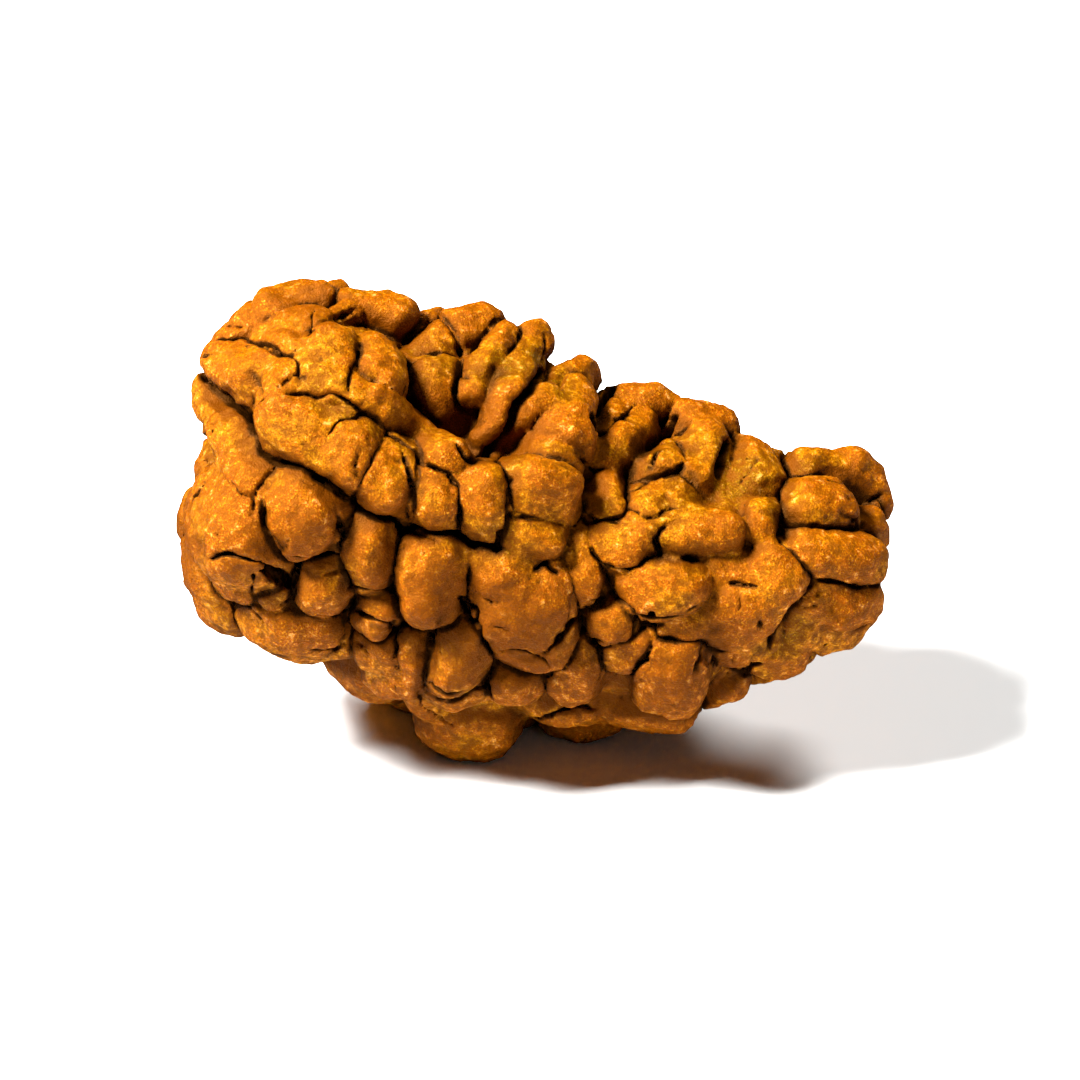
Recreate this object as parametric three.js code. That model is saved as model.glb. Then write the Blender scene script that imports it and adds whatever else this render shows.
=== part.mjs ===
// A rudraksha seed of the one-faced, half-moon kind: one woody stone, covered in rounded lobes with deep
// crevices between them and one long furrow (its face line) that runs round the head.
// Millimetres, +Z up. +X points to the narrow end and -Y to the side with the long furrow.
// The seed stands on its convex edge, where a few lobes are worn to one flat rest spot.
// The origin is in the middle of that rest spot.
import * as THREE from 'three';
import { mergeVertices } from 'three/addons/utils/BufferGeometryUtils.js';

// Driving dimensions
const SEED_LENGTH = 29;             // from the head to the narrow end
const SKETCH_LENGTH = 29;           // length at which the places and sizes below were drawn
const SCALE = SEED_LENGTH / SKETCH_LENGTH;
const SKETCH_TILT = THREE.MathUtils.degToRad(35);     // the sketch looks down on the seed at this angle
const REST_PLACE = new THREE.Vector3(-2, 0.5, -8.95); // middle of the rest spot, from the sketch's centre
const SINK = 0.22;                  // part of a lobe's height that is under the body's surface
const LOBE_FLOOR = 0.38;            // height of a lobe of no width
const LOBE_SLOPE = 0.72;            // how much higher a lobe stands for each millimetre of half width
const MAX_STRETCH = 1.6;            // the most that a lobe on a leaning surface grows past its sketched size
const LEAST_FACING = 0.45;          // a surface that leans more than this is taken to lean this much
const SHINGLE = 0.28;               // how far the lobes of the furrowed side lean to the upper left
const CREASE = 0.45;                // rounding of the crevice between two lobes
const BODY_BLEND = 2.0;             // rounding between the parts of the plain body under the lobes
const DIP_BLEND = 1.6;              // rounding of the rims of the hollows on top
const BODY_POWER = 2.2;             // squareness of the plain body, where 2 is an ellipsoid
const LOBE_POWER = 2.35;            // squareness of a lobe
const HEAD_CORE = { x: -8.5, z: 2.6, half: 3.2 };     // the upright core line at the head
const TIP_CORE = { x: 10.2, z: -0.9, half: 0.6 };     // and at the narrow end
const REACH = 14;                   // how far from the core the measuring starts
const SIGHT = 30;                   // distance from which lobes of the sketch are dropped onto the body
const LOBE_REACH = 1.5;             // how far a squarish lobe's corners can be, in its largest radius
const LOBE_MARGIN = 1;              // how far round its reach a lobe still joins smoothly
const SLOPE_STEP = 0.01;            // reach over which the body's direction is measured
const LONGEST_STEP = 0.4;           // longest step of a walk to the surface
const CAUTION = 0.8;                // part of the measured gap that a step goes
const TOUCHING = 0.004;             // a walk that comes this near has arrived
const RING_SIDES = 66;              // corners of the mesh round the seed
const CORE_ROWS = 36;               // rows of corners along the core
const CAP_ROWS = 13;                // rows of corners round each end
const RELAX_PASSES = 1;             // how often each corner moves towards its neighbours
const RELAX_SHARE = 0.35;           // part of the way that it moves

// Plain body under the lobes: middle and radii of each part, from the sketch's centre
const BODY_PARTS = [
  { middle: [-8.5, 0.2, 3.0], radii: [4.5, 5.0, 6.4] },   // head
  { middle: [-3.0, 0.1, 0.5], radii: [6.2, 5.5, 7.6] },   // belly
  { middle: [4.2, 0.0, -1.0], radii: [6.2, 5.0, 5.5] },   // waist
  { middle: [9.8, 0.0, -1.0], radii: [3.5, 3.7, 3.6] },   // narrow end
  { middle: [-0.6, 1.2, -4.0], radii: [6.6, 3.6, 4.7] },  // underside
  { middle: [-10.8, -0.6, 0.3], radii: [2.9, 3.4, 3.0] }, // cheek
];
// Hollows between the roll in front and the crest behind
const DIPS = [
  { middle: [-1.6, -1.6, 7.6], radii: [4.6, 1.7, 2.3] },
  { middle: [5.4, -1.9, 5.2], radii: [4.0, 1.5, 1.6] },
];
// Lobes that reach down to the rest spot
const FEET = [
  { middle: [-2.8, -1.8, -7.2], radii: [2.3, 1.8, 1.95] },
  { middle: [1.9, -0.7, -7.6], radii: [1.7, 1.4, 1.55] },
  { middle: [4.3, 1.4, -7.5], radii: [1.6, 1.4, 1.65] },
  { middle: [-1.6, 0.8, -7.9], radii: [2.0, 1.6, 1.3] },
  { middle: [-4.9, 1.9, -7.5], radii: [1.7, 1.6, 1.7] },
  { middle: [-1.4, 3.0, -7.5], radii: [1.8, 1.4, 1.7] },
  { middle: [2.0, 2.7, -7.5], radii: [1.7, 1.4, 1.65] },
];

// Fingers and knobs of the crest and the ridge along the furrow, by both ends as the sketch shows them:
// [right, up, towards the eye, radius] twice
const FINGERS = [
  [-10.5, 9.1, 2.8, 1.0, -9.1, 9.25, 2.4, 1.0],
  [-8.5, 9.6, 1.2, 0.6, -8.2, 9.65, 1.2, 0.65],
  [-7.5, 9.15, 2.6, 0.75, -6.2, 8.95, 2.3, 1.15],
  [-9.4, 7.9, 4.6, 0.5, -7.6, 8.8, 3.2, 0.55],
  [-4.6, 8.6, 1.0, 0.6, -4.1, 8.7, 0.8, 0.55],
  [-5.6, 7.9, 1.5, 0.8, -4.2, 8.2, 1.2, 0.85],
  [-4.4, 7.5, 2.6, 0.85, -3.8, 7.9, 2.2, 0.8],
  [-3.3, 8.1, 1.9, 0.95, -2.2, 8.3, 1.7, 0.95],
  [-2.6, 5.9, 4.2, 0.6, -1.5, 7.9, 2.4, 0.7],
  [-1.0, 5.9, 3.9, 0.8, -0.2, 7.9, 1.5, 0.85],
  [0.4, 5.6, 2.9, 0.6, 2.0, 6.8, 1.0, 0.75],
  [1.5, 5.9, 2.2, 0.8, 1.1, 4.6, 3.6, 1.0],
  [0.9, 4.7, 3.7, 1.0, 1.05, 4.0, 4.0, 1.15],
  [3.2, 5.5, 0.4, 0.65, 4.6, 5.45, -0.1, 0.85],
  [2.9, 5.6, 0.8, 0.5, 2.75, 4.7, 1.9, 0.55],
  [3.9, 4.7, 1.0, 0.6, 3.0, 3.7, 2.8, 0.65],
  [5.9, 4.5, 0.4, 0.85, 7.0, 4.45, -0.2, 1.0],
  [6.5, 4.0, 1.3, 0.85, 5.9, 2.6, 2.9, 0.75],
  [8.4, 3.4, 0.6, 0.95, 8.5, 2.5, 1.9, 1.15],
  [10.5, 2.8, 0.3, 0.9, 12.3, 2.65, -0.6, 0.9],
  [12.3, 2.65, -0.6, 0.9, 13.0, 2.2, -0.9, 0.75],
  [12.8, 0.5, 0.6, 1.0, 13.15, 0.3, 0.2, 0.95],
  [13.5, 1.4, -0.8, 0.55, 13.7, 1.4, -0.9, 0.5],
  [-12.2, 7.9, 2.6, 0.75, -11.3, 8.8, 2.6, 0.85],
  [-12.4, 7.1, 2.8, 0.95, -11.3, 6.5, 5.2, 1.2],
  [-12.9, 5.7, 2.4, 0.75, -12.1, 4.0, 5.2, 1.0],
  [-12.1, 4.0, 5.2, 1.0, -11.3, 2.4, 6.1, 1.0],
];

// Lobes of the furrowed side, as the sketch shows them:
// [right, up, half length, half width, turn in degrees, height factor]
// These swellings are low and carry smaller lobes
const WIDE_LOBES = [
  [-0.8, -2.4, 2.1, 2.0, 0, 0.8],
  [7.9, -2.0, 2.0, 1.7, -40, 0.8],
  [4.9, -5.0, 1.8, 1.6, 0, 0.9],
  [-9.9, -3.1, 2.2, 1.2, -15, 0.8],
];
const CREST_LOBES = [
  [-6.4, 6.7, 1.3, 1.1, 90, 1.0],
  [-4.1, 6.1, 1.3, 1.0, 90, 1.0],
  [-0.3, 5.0, 1.5, 0.75, 45, 1.1],
  [0.6, 3.2, 1.1, 1.0, 90, 0.9],
  [2.2, 3.3, 0.9, 0.8, 90, 0.8],
  [4.6, 2.9, 1.1, 0.85, 20, 1.0],
  [2.5, 1.9, 1.2, 0.85, 95, 1.0],
  [4.6, 1.5, 1.5, 0.85, 15, 1.0],
];
const NARROW_END_LOBES = [
  [11.0, 1.5, 1.5, 1.15, 0, 1.0],
  [8.7, 0.7, 1.0, 0.85, 90, 1.0],
  [11.6, -0.7, 1.9, 1.25, 0, 1.0],
  [11.8, -2.4, 1.5, 1.2, 0, 1.0],
  [10.4, -3.3, 1.1, 1.0, 0, 0.8],
  [11.9, -3.5, 1.3, 1.0, 10, 0.9],
  [9.4, -4.5, 1.5, 0.8, 10, 0.9],
];
const MIDDLE_LOBES = [
  [0.1, 2.1, 1.4, 1.35, 0, 1.1],
  [-0.3, 0.2, 1.3, 0.95, 0, 1.1],
  [1.6, -0.9, 1.7, 0.9, 100, 1.0],
  [2.9, 0.0, 1.4, 1.0, -10, 1.0],
  [4.0, 0.7, 0.9, 0.65, -35, 0.9],
  [6.2, 0.4, 2.0, 1.0, -5, 1.0],
  [4.8, -1.7, 1.9, 1.15, 0, 1.1],
  [2.9, -2.9, 1.0, 1.05, 90, 1.0],
  [-1.4, -1.5, 1.5, 1.1, -10, 1.1],
  [0.6, -2.3, 1.0, 1.0, 0, 1.0],
  [-0.4, -3.4, 2.0, 1.2, 5, 1.0],
  [1.4, -4.8, 1.3, 1.2, 90, 1.0],
  [3.6, -4.2, 1.3, 1.0, 45, 1.0],
  [5.2, -3.2, 1.3, 0.8, 0, 0.8],
  [5.3, -5.2, 1.3, 1.1, 90, 1.0],
  [9.1, -1.4, 1.6, 1.35, -55, 1.2],
  [7.1, -1.1, 1.0, 0.9, 0, 0.9],
  [7.2, -2.8, 1.3, 1.1, -80, 1.0],
  [7.7, -3.9, 1.2, 0.9, 0, 0.9],
  [9.0, -3.7, 1.0, 0.6, 75, 0.9],
  [7.1, -5.9, 1.1, 0.9, 70, 1.0],
];
const ROLL_LOBES = [
  [-10.0, 8.3, 1.4, 0.8, 0, 0.9],
  [-10.6, 7.5, 1.2, 0.6, -10, 0.9],
  [-8.3, 7.3, 1.1, 0.9, -20, 1.0],
  [-10.1, 5.9, 0.9, 1.0, 0, 1.1],
  [-9.5, 4.5, 1.6, 1.4, -35, 1.1],
  [-7.8, 3.5, 1.5, 1.5, -30, 1.1],
  [-6.1, 2.5, 1.5, 1.45, -40, 1.1],
  [-4.2, 1.7, 1.7, 1.05, -75, 1.1],
  [-2.3, 1.2, 1.5, 1.0, 90, 1.1],
];
const LOWER_LOBES = [
  [-12.0, 0.7, 2.4, 2.0, 85, 1.1],
  [-9.6, 1.2, 1.7, 1.5, -60, 1.1],
  [-8.7, -1.6, 1.3, 1.25, 0, 1.1],
  [-6.9, -0.3, 1.7, 1.1, -85, 1.1],
  [-4.4, -1.6, 1.8, 1.45, 90, 1.2],
  [-6.4, -2.7, 1.0, 0.9, -20, 1.0],
  [-12.2, -1.6, 1.0, 0.9, 0, 0.9],
  [-10.5, -1.8, 0.9, 0.8, 0, 0.9],
  [-9.6, -3.3, 1.4, 1.0, 0, 0.9],
  [-8.1, -3.7, 1.0, 0.9, 0, 0.8],
  [-9.9, -3.8, 2.0, 0.8, -12, 0.8],
  [-6.4, -4.2, 1.0, 1.0, 0, 0.9],
  [-5.0, -4.7, 1.2, 0.8, 90, 1.0],
  [-3.0, -4.4, 1.6, 1.2, 70, 1.1],
  [-3.2, -5.8, 1.4, 0.6, 10, 1.0],
  [-6.0, -5.3, 1.1, 0.7, -35, 0.9],
  [-4.6, -6.5, 1.2, 0.8, -70, 0.9],
  [-1.0, -5.3, 1.2, 0.9, -5, 1.1],
  [1.0, -6.4, 1.5, 0.9, 10, 0.9],
  [4.0, -6.4, 2.2, 1.1, 5, 1.0],
];
// The long ridge along the roll and a short one at the foot of the crest, as chains of balls of one size that
// are seated at one height over the body, at places [right, up] of the sketch
const RIDGES = [
  { radius: 0.75, rise: 0.35, line: [[-1.1, 5.8], [-1.6, 4.9], [-2.2, 4.0]] },
  {
    radius: 0.85,
    rise: 0.1,
    line: [[-8.6, 6.2], [-7.6, 5.7], [-6.6, 5.1], [-5.6, 4.4], [-4.6, 3.7], [-3.7, 3.1]],
  },
];

// Far side, where lobes of these half widths fill the surface, the widest ones first
const FAR_WIDTHS = [1.65, 1.3, 1.0, 0.75];
const FAR_PLACES = 900;             // places that are tried for each width
const FAR_STRIDE = 277;             // order in which they are tried, so that neighbours don't follow
const FAR_LIMIT = 0.2;              // the most that a far lobe faces the sketch
const RIM_LIMIT = -0.6;             // far lobes that face the sketch more than this show at its outline
const RIM_HEIGHT = 0.55;            // and are kept low, because the nearer lobes draw the outline
const FAR_GAP = 0.62;               // room between two lobes, as part of the new one's half width
const FAR_LENGTH = 1.15;            // half length of a far lobe, as part of its half width
const LENGTH_CHANGE = 0.25;         // how much longer or shorter it may be
const HEIGHT_CHANGE = 0.1;          // how much higher or lower
const FLAT_MARGIN = 0.001;          // a corner this near the rest plane counts as part of the rest spot
const GOLDEN_ANGLE = Math.PI * (3 - Math.sqrt(5));

// Colour and sheen of the dry, oiled wood
const WOOD_COLOR = 0xb8650f;
const WOOD_ROUGHNESS = 0.5;

const RIGHT = new THREE.Vector3(1, 0, 0);
const UP = new THREE.Vector3(0, Math.sin(SKETCH_TILT), Math.cos(SKETCH_TILT));
const TOWARDS = new THREE.Vector3(0, -Math.cos(SKETCH_TILT), Math.sin(SKETCH_TILT));

// Place of a point of the sketch
function fromSketch(right, up, towards) {
  const point = new THREE.Vector3();
  return point.addScaledVector(RIGHT, right).addScaledVector(UP, up).addScaledVector(TOWARDS, towards);
}

// Smooth joins of two distances
function blendIn(a, b, width) {
  const h = Math.max(width - Math.abs(a - b), 0) / width;
  return Math.min(a, b) - h * h * width / 4;
}

function blendOut(a, b, width) {
  return -blendIn(-a, b, width);
}

// A squarish ellipsoid whose axes are the three given directions, measured by its distance function
function makeLobe(middle, axes, radii, power) {
  const offset = new THREE.Vector3();
  const tiny = 1e-9;
  function distance(point) {
    offset.subVectors(point, middle);
    const parts = axes.map((axis, i) => Math.abs(offset.dot(axis)) / radii[i] + tiny);
    const size = (parts[0] ** power + parts[1] ** power + parts[2] ** power) ** (1 / power);
    const slopes = parts.map((part, i) => (part / size) ** (power - 1) / radii[i]);
    return (size - 1) / Math.hypot(...slopes);
  }
  return { middle, reach: LOBE_REACH * Math.max(...radii), distance };
}

function uprightLobe({ middle, radii }, power) {
  const axes = [new THREE.Vector3(1, 0, 0), new THREE.Vector3(0, 1, 0), new THREE.Vector3(0, 0, 1)];
  return makeLobe(new THREE.Vector3(...middle), axes, radii, power);
}

// A finger with a round end at each of its two places
function makeFinger(start, radiusA, end, radiusB) {
  const core = new THREE.Line3(start, end);
  const nearest = new THREE.Vector3();
  function distance(point) {
    const part = core.closestPointToPointParameter(point, true);
    core.at(part, nearest);
    return nearest.distanceTo(point) - THREE.MathUtils.lerp(radiusA, radiusB, part);
  }
  const middle = core.getCenter(new THREE.Vector3());
  return { middle, reach: core.distance() / 2 + Math.max(radiusA, radiusB), distance };
}

function sketchedFinger([rightA, upA, towardsA, radiusA, rightB, upB, towardsB, radiusB]) {
  return makeFinger(fromSketch(rightA, upA, towardsA), radiusA, fromSketch(rightB, upB, towardsB), radiusB);
}

const bodyParts = BODY_PARTS.map((part) => uprightLobe(part, BODY_POWER));
const dips = DIPS.map((dip) => uprightLobe(dip, 2));

// Plain body without lobes
function bodyDistance(point) {
  let distance = bodyParts[0].distance(point);
  bodyParts.slice(1).forEach((part) => {
    distance = blendIn(distance, part.distance(point), BODY_BLEND);
  });
  dips.forEach((dip) => {
    distance = blendOut(distance, dip.distance(point), DIP_BLEND);
  });
  return distance;
}

function bodyNormal(point) {
  const slope = [RIGHT, UP, TOWARDS].map((axis) => {
    const ahead = bodyDistance(point.clone().addScaledVector(axis, SLOPE_STEP));
    return ahead - bodyDistance(point.clone().addScaledVector(axis, -SLOPE_STEP));
  });
  return fromSketch(...slope).normalize();
}

// Walks along a ray to the surface, or gives the place where it came closest
function cast(distance, start, direction, reach) {
  const point = start.clone();
  const closest = { point: start.clone(), gap: Infinity };
  let travelled = 0;
  while (travelled < reach && closest.gap > TOUCHING) {
    const gap = distance(point);
    if (gap < closest.gap) {
      closest.gap = gap;
      closest.point.copy(point);
    }
    const step = THREE.MathUtils.clamp(CAUTION * gap, TOUCHING, LONGEST_STEP);
    point.addScaledVector(direction, step);
    travelled += step;
  }
  return closest.point;
}

// A lobe that sits on the body, with its length along one tangent and its height along the normal
function seatedLobe(place, normal, along, halfLength, halfWidth, heightFactor) {
  const side = new THREE.Vector3().crossVectors(normal, along);
  const height = (LOBE_FLOOR + LOBE_SLOPE * halfWidth) * heightFactor;
  const middle = place.clone().addScaledVector(normal, -SINK * height);
  return makeLobe(middle, [along, side, normal], [halfLength, halfWidth, height], LOBE_POWER);
}

function alongSurface(direction, normal) {
  return direction.addScaledVector(normal, -direction.dot(normal)).normalize();
}

// Place on the body under a place of the sketch
function drop(right, up) {
  return cast(bodyDistance, fromSketch(right, up, SIGHT), TOWARDS.clone().negate(), 2 * SIGHT);
}

// A lobe of the sketch, dropped onto the body along the line of sight.
// Where the body leans away from the sketch, the lobe is longer than it looks.
function sketchedLobe([right, up, halfLength, halfWidth, turn, heightFactor]) {
  const place = drop(right, up);
  const normal = bodyNormal(place);
  const angle = THREE.MathUtils.degToRad(turn);
  const flat = fromSketch(Math.cos(angle), Math.sin(angle), 0);
  const lean = flat.dot(normal) / Math.max(normal.dot(TOWARDS), LEAST_FACING);
  const along = alongSurface(flat.addScaledVector(TOWARDS, -lean), normal);
  const side = new THREE.Vector3().crossVectors(normal, along);
  const seen = Math.max(Math.hypot(side.dot(RIGHT), side.dot(UP)), 1 / MAX_STRETCH);
  const stretch = Math.min(Math.hypot(1, lean), MAX_STRETCH);
  const sizes = [halfLength * stretch, halfWidth / seen, heightFactor];
  const leaning = UP.clone().sub(RIGHT).normalize().multiplyScalar(SHINGLE).add(normal).normalize();
  return seatedLobe(place, leaning, alongSurface(along, leaning), ...sizes);
}

// The balls of a ridge, each joined to the next
function makeRidge({ radius, rise, line }) {
  const places = line.map(([right, up]) => {
    const place = drop(right, up);
    return place.addScaledVector(bodyNormal(place), rise);
  });
  return places.slice(1).map((place, i) => makeFinger(places[i], radius, place, radius));
}

// Surface point that is seen from the seed's core, a thin upright plate that narrows towards the tip.
// part runs from 0 at the head to 1 at the tip.
function fromCore(distance, part, direction) {
  const mix = THREE.MathUtils.lerp;
  const half = mix(HEAD_CORE.half, TIP_CORE.half, part);
  const start = new THREE.Vector3(mix(HEAD_CORE.x, TIP_CORE.x, part), 0, 0);
  start.z = mix(HEAD_CORE.z, TIP_CORE.z, part) + half * direction.z;
  start.addScaledVector(direction, REACH);
  return cast(distance, start, direction.clone().negate(), REACH);
}

// Direction number i of many that are spread evenly over a ball
function spreadDirection(i, count) {
  const x = 1 - (2 * i + 1) / count;
  const ring = Math.sqrt(1 - x * x);
  return new THREE.Vector3(x, ring * Math.cos(i * GOLDEN_ANGLE), ring * Math.sin(i * GOLDEN_ANGLE));
}

// Fills the far side with lobes wherever there is room between those that are there
function addFarLobes(lobes) {
  FAR_WIDTHS.forEach((width) => {
    for (let i = 0; i < FAR_PLACES; i += 1) {
      const direction = spreadDirection((i * FAR_STRIDE) % FAR_PLACES, FAR_PLACES);
      const place = fromCore(bodyDistance, (direction.x + 1) / 2, direction);
      const normal = bodyNormal(place);
      const crowded = lobes.some((lobe) => lobe.distance(place) < FAR_GAP * width);
      if (!crowded && normal.dot(TOWARDS) < FAR_LIMIT) {
        const turn = i * GOLDEN_ANGLE;
        const along = alongSurface(fromSketch(Math.cos(turn), Math.sin(turn), Math.sin(2 * turn)), normal);
        const halfLength = width * (FAR_LENGTH + LENGTH_CHANGE * Math.sin(5 * i));
        const rim = normal.dot(TOWARDS) > RIM_LIMIT;
        const heightFactor = rim ? RIM_HEIGHT : 1 + HEIGHT_CHANGE * Math.cos(3 * i);
        lobes.push(seatedLobe(place, normal, along, halfLength, width, heightFactor));
      }
    }
  });
}

const lobes = FEET.map((foot) => uprightLobe(foot, LOBE_POWER));
lobes.push(...FINGERS.map(sketchedFinger));
[WIDE_LOBES, CREST_LOBES, NARROW_END_LOBES, MIDDLE_LOBES, ROLL_LOBES, LOWER_LOBES].forEach((group) => {
  lobes.push(...group.map(sketchedLobe));
});
lobes.push(...RIDGES.flatMap(makeRidge));
addFarLobes(lobes);

// Whole seed: the body and every lobe that is near the point
function seedDistance(point) {
  let distance = bodyDistance(point);
  lobes.forEach((lobe) => {
    if (point.distanceTo(lobe.middle) < lobe.reach + LOBE_MARGIN) {
      distance = blendIn(distance, lobe.distance(point), CREASE);
    }
  });
  return distance;
}

// Moves each corner towards the middle of its neighbours, so that an overhanging lobe leaves no notches.
// The corners of the rest spot stay.
function relax(geometry, restHeight) {
  const corners = geometry.getAttribute('position');
  const sides = geometry.getIndex();
  const neighbours = Array.from({ length: corners.count }, () => new Set());
  for (let i = 0; i < sides.count; i += 3) {
    const [a, b, c] = [sides.getX(i), sides.getX(i + 1), sides.getX(i + 2)];
    neighbours[a].add(b).add(c);
    neighbours[b].add(c).add(a);
    neighbours[c].add(a).add(b);
  }
  const corner = new THREE.Vector3();
  const moved = neighbours.map((others, i) => {
    const place = new THREE.Vector3().fromBufferAttribute(corners, i);
    if (place.z > restHeight + FLAT_MARGIN) {
      const middle = new THREE.Vector3();
      others.forEach((other) => middle.add(corner.fromBufferAttribute(corners, other)));
      place.lerp(middle.divideScalar(others.size), RELAX_SHARE);
    }
    return place;
  });
  moved.forEach((place, i) => corners.setXYZ(i, place.x, place.y, place.z));
}

// A capsule's corners move to the seed's surface, and none goes below the rest spot
function makeSeedGeometry() {
  const coreLength = 1;
  const capsule = new THREE.CapsuleGeometry(1, coreLength, CAP_ROWS, RING_SIDES, CORE_ROWS);
  capsule.deleteAttribute('normal');
  capsule.deleteAttribute('uv');
  const sameCorner = 1e-5;
  const geometry = mergeVertices(capsule, sameCorner);
  const corners = geometry.getAttribute('position');
  for (let i = 0; i < corners.count; i += 1) {
    const height = corners.getY(i) + coreLength / 2;
    const part = THREE.MathUtils.clamp(height, 0, coreLength);
    const direction = new THREE.Vector3(height - part, corners.getZ(i), corners.getX(i)).normalize();
    const point = fromCore(seedDistance, part, direction);
    point.z = Math.max(point.z, REST_PLACE.z);
    corners.setXYZ(i, point.x, point.y, point.z);
  }
  for (let pass = 0; pass < RELAX_PASSES; pass += 1) {
    relax(geometry, REST_PLACE.z);
  }
  geometry.translate(-REST_PLACE.x, -REST_PLACE.y, -REST_PLACE.z);
  geometry.scale(SCALE, SCALE, SCALE);
  geometry.computeVertexNormals();
  return geometry;
}

const wood = new THREE.MeshStandardMaterial({
  color: WOOD_COLOR,
  roughness: WOOD_ROUGHNESS,
  metalness: 0,
});

const seed = new THREE.Mesh(makeSeedGeometry(), wood);
seed.name = 'rudraksha_seed';

const rudraksha = new THREE.Group();
rudraksha.add(seed);

export default rudraksha;
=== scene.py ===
# %% [markdown]
# A rudraksha seed of the one-faced, half-moon kind: one woody stone about 29 mm long, covered in rounded
# lobes with deep crevices, fine cracks and one long furrow round its head.
# A stone like this grows as one lump, so one mesh stands for it. It is built as a distance field: for every
# point of a fine grid, how far it is from the seed's surface. Lobes are joined and cracks are cut by small
# sums on those distances, and a mesh is drawn only at the end. That keeps the surface closed, however
# many lobes meet in one place, which would be hard to get by pushing corners about.

import math

import bpy
import numpy as np
import openvdb
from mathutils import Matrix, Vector


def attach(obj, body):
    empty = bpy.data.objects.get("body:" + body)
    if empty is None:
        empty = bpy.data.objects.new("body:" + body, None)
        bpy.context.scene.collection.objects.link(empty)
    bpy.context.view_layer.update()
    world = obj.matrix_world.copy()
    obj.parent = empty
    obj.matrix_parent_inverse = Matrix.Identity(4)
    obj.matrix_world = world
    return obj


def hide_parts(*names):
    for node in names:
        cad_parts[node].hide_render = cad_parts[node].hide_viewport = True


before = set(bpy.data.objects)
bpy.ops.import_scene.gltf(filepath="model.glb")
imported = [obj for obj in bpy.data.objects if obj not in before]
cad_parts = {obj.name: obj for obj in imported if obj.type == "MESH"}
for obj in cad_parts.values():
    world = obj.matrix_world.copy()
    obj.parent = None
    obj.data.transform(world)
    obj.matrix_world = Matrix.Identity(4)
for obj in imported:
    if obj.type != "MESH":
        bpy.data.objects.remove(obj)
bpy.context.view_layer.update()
MM = 0.001      # one millimetre in metres

# %% [markdown]
# The shapes were drawn on a sketch that looks down on the seed at 35 degrees, as the photograph does:
# right, up, and towards the eye, in millimetres from the sketch's centre. Places in the body are given
# upright: +X to the narrow end, -Y to the side with the furrow, +Z up, from the same centre.
# All of it is worked out in millimetres and turned into metres at the end.

# %% Sketch and sizes
SKETCH_TILT = math.radians(35)
REST_PLACE = np.array([-2.0, 0.5, -8.95])   # middle of the flat rest spot, from the sketch's centre
SEED = 20                                   # of the random numbers

STEP = 0.07         # spacing of the fine grid
LOW = np.array([-15.2, -7.6, -9.4])         # corners of the block of space that the grid fills
HIGH = np.array([15.2, 7.8, 11.6])
AXES = [np.arange(low, high, STEP) for low, high in zip(LOW, HIGH)]

RIGHT = np.array([1.0, 0.0, 0.0])
UP = np.array([0.0, math.sin(SKETCH_TILT), math.cos(SKETCH_TILT)])
TOWARDS = np.array([0.0, -math.cos(SKETCH_TILT), math.sin(SKETCH_TILT)])


def from_sketch(places):
    """Upright places of sketch places (right, up, towards the eye)."""
    return np.asarray(places, float) @ np.array([RIGHT, UP, TOWARDS])


def volume_inside(distances):
    """Volume where a grid of distances is below zero, in whole cubic millimetres."""
    return round(float((distances < 0).sum()) * STEP**3)


print("grid:", [len(axis) for axis in AXES])

# %% [markdown]
# Two distances can be joined smoothly: where they are nearly equal, the smaller one is lowered a little,
# which fills the crevice between two shapes. The same sum turned round cuts one shape out of another.
# A lobe is a squarish ellipsoid: a power of 2 gives an ellipsoid and higher powers give it fuller
# shoulders, as on the swollen lobes of this seed. A finger is a ball swept along a short line.

# %% Shapes
LOBE_POWER = 2.35
BODY_POWER = 2.2
LONGEST_STEP = 0.4     # longest step of a cast, because bent shapes are measured a little wrong
CAUTION = 0.8          # part of the measured gap that a cast dares to walk
TOUCHING = 0.004       # a cast that comes this near has arrived


def join(a, b, width):
    """Smooth smaller one of two distances."""
    near = np.maximum(width - np.abs(a - b), 0) / width
    return np.minimum(a, b) - near * near * width / 4


def carve(a, b, width):
    """Distance a with the shape of distance b cut out of it."""
    return -join(-a, b, width)


def unit(vectors):
    return vectors / np.linalg.norm(vectors, axis=-1, keepdims=True)


class Lobe:
    """A squarish ellipsoid: its middle, its three axes (one for each row) and its three radii."""

    def __init__(self, middle, axes, radii, power=LOBE_POWER):
        self.middle = np.asarray(middle, float)
        self.axes = np.asarray(axes, float)
        self.radii = np.asarray(radii, float)
        self.power = power
        self.half_box = np.abs(self.axes.T) @ self.radii

    def distance(self, x, y, z):
        x, y, z = (value - centre for value, centre in zip((x, y, z), self.middle))
        tiny = 1e-6
        parts = [
            np.abs(x * axis[0] + y * axis[1] + z * axis[2]) / radius + tiny
            for axis, radius in zip(self.axes, self.radii)
        ]
        size = sum(part**self.power for part in parts) ** (1 / self.power)
        slopes = sum(
            (part / size) ** (2 * self.power - 2) / radius**2 for part, radius in zip(parts, self.radii)
        )
        return (size - 1) / np.sqrt(slopes)


class Finger:
    """A ball that changes from one radius to the other between two places."""

    def __init__(self, start, start_radius, end, end_radius):
        self.start = np.asarray(start, float)
        self.line = np.asarray(end, float) - self.start
        self.radii = (start_radius, end_radius)
        self.middle = self.start + self.line / 2
        self.half_box = np.abs(self.line) / 2 + max(self.radii)

    def distance(self, x, y, z):
        x, y, z = (value - origin for value, origin in zip((x, y, z), self.start))
        a, b, c = self.line
        part = np.clip((x * a + y * b + z * c) / (self.line @ self.line), 0, 1)
        gap = np.sqrt((x - part * a) ** 2 + (y - part * b) ** 2 + (z - part * c) ** 2)
        return gap - self.radii[0] - part * (self.radii[1] - self.radii[0])


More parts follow.
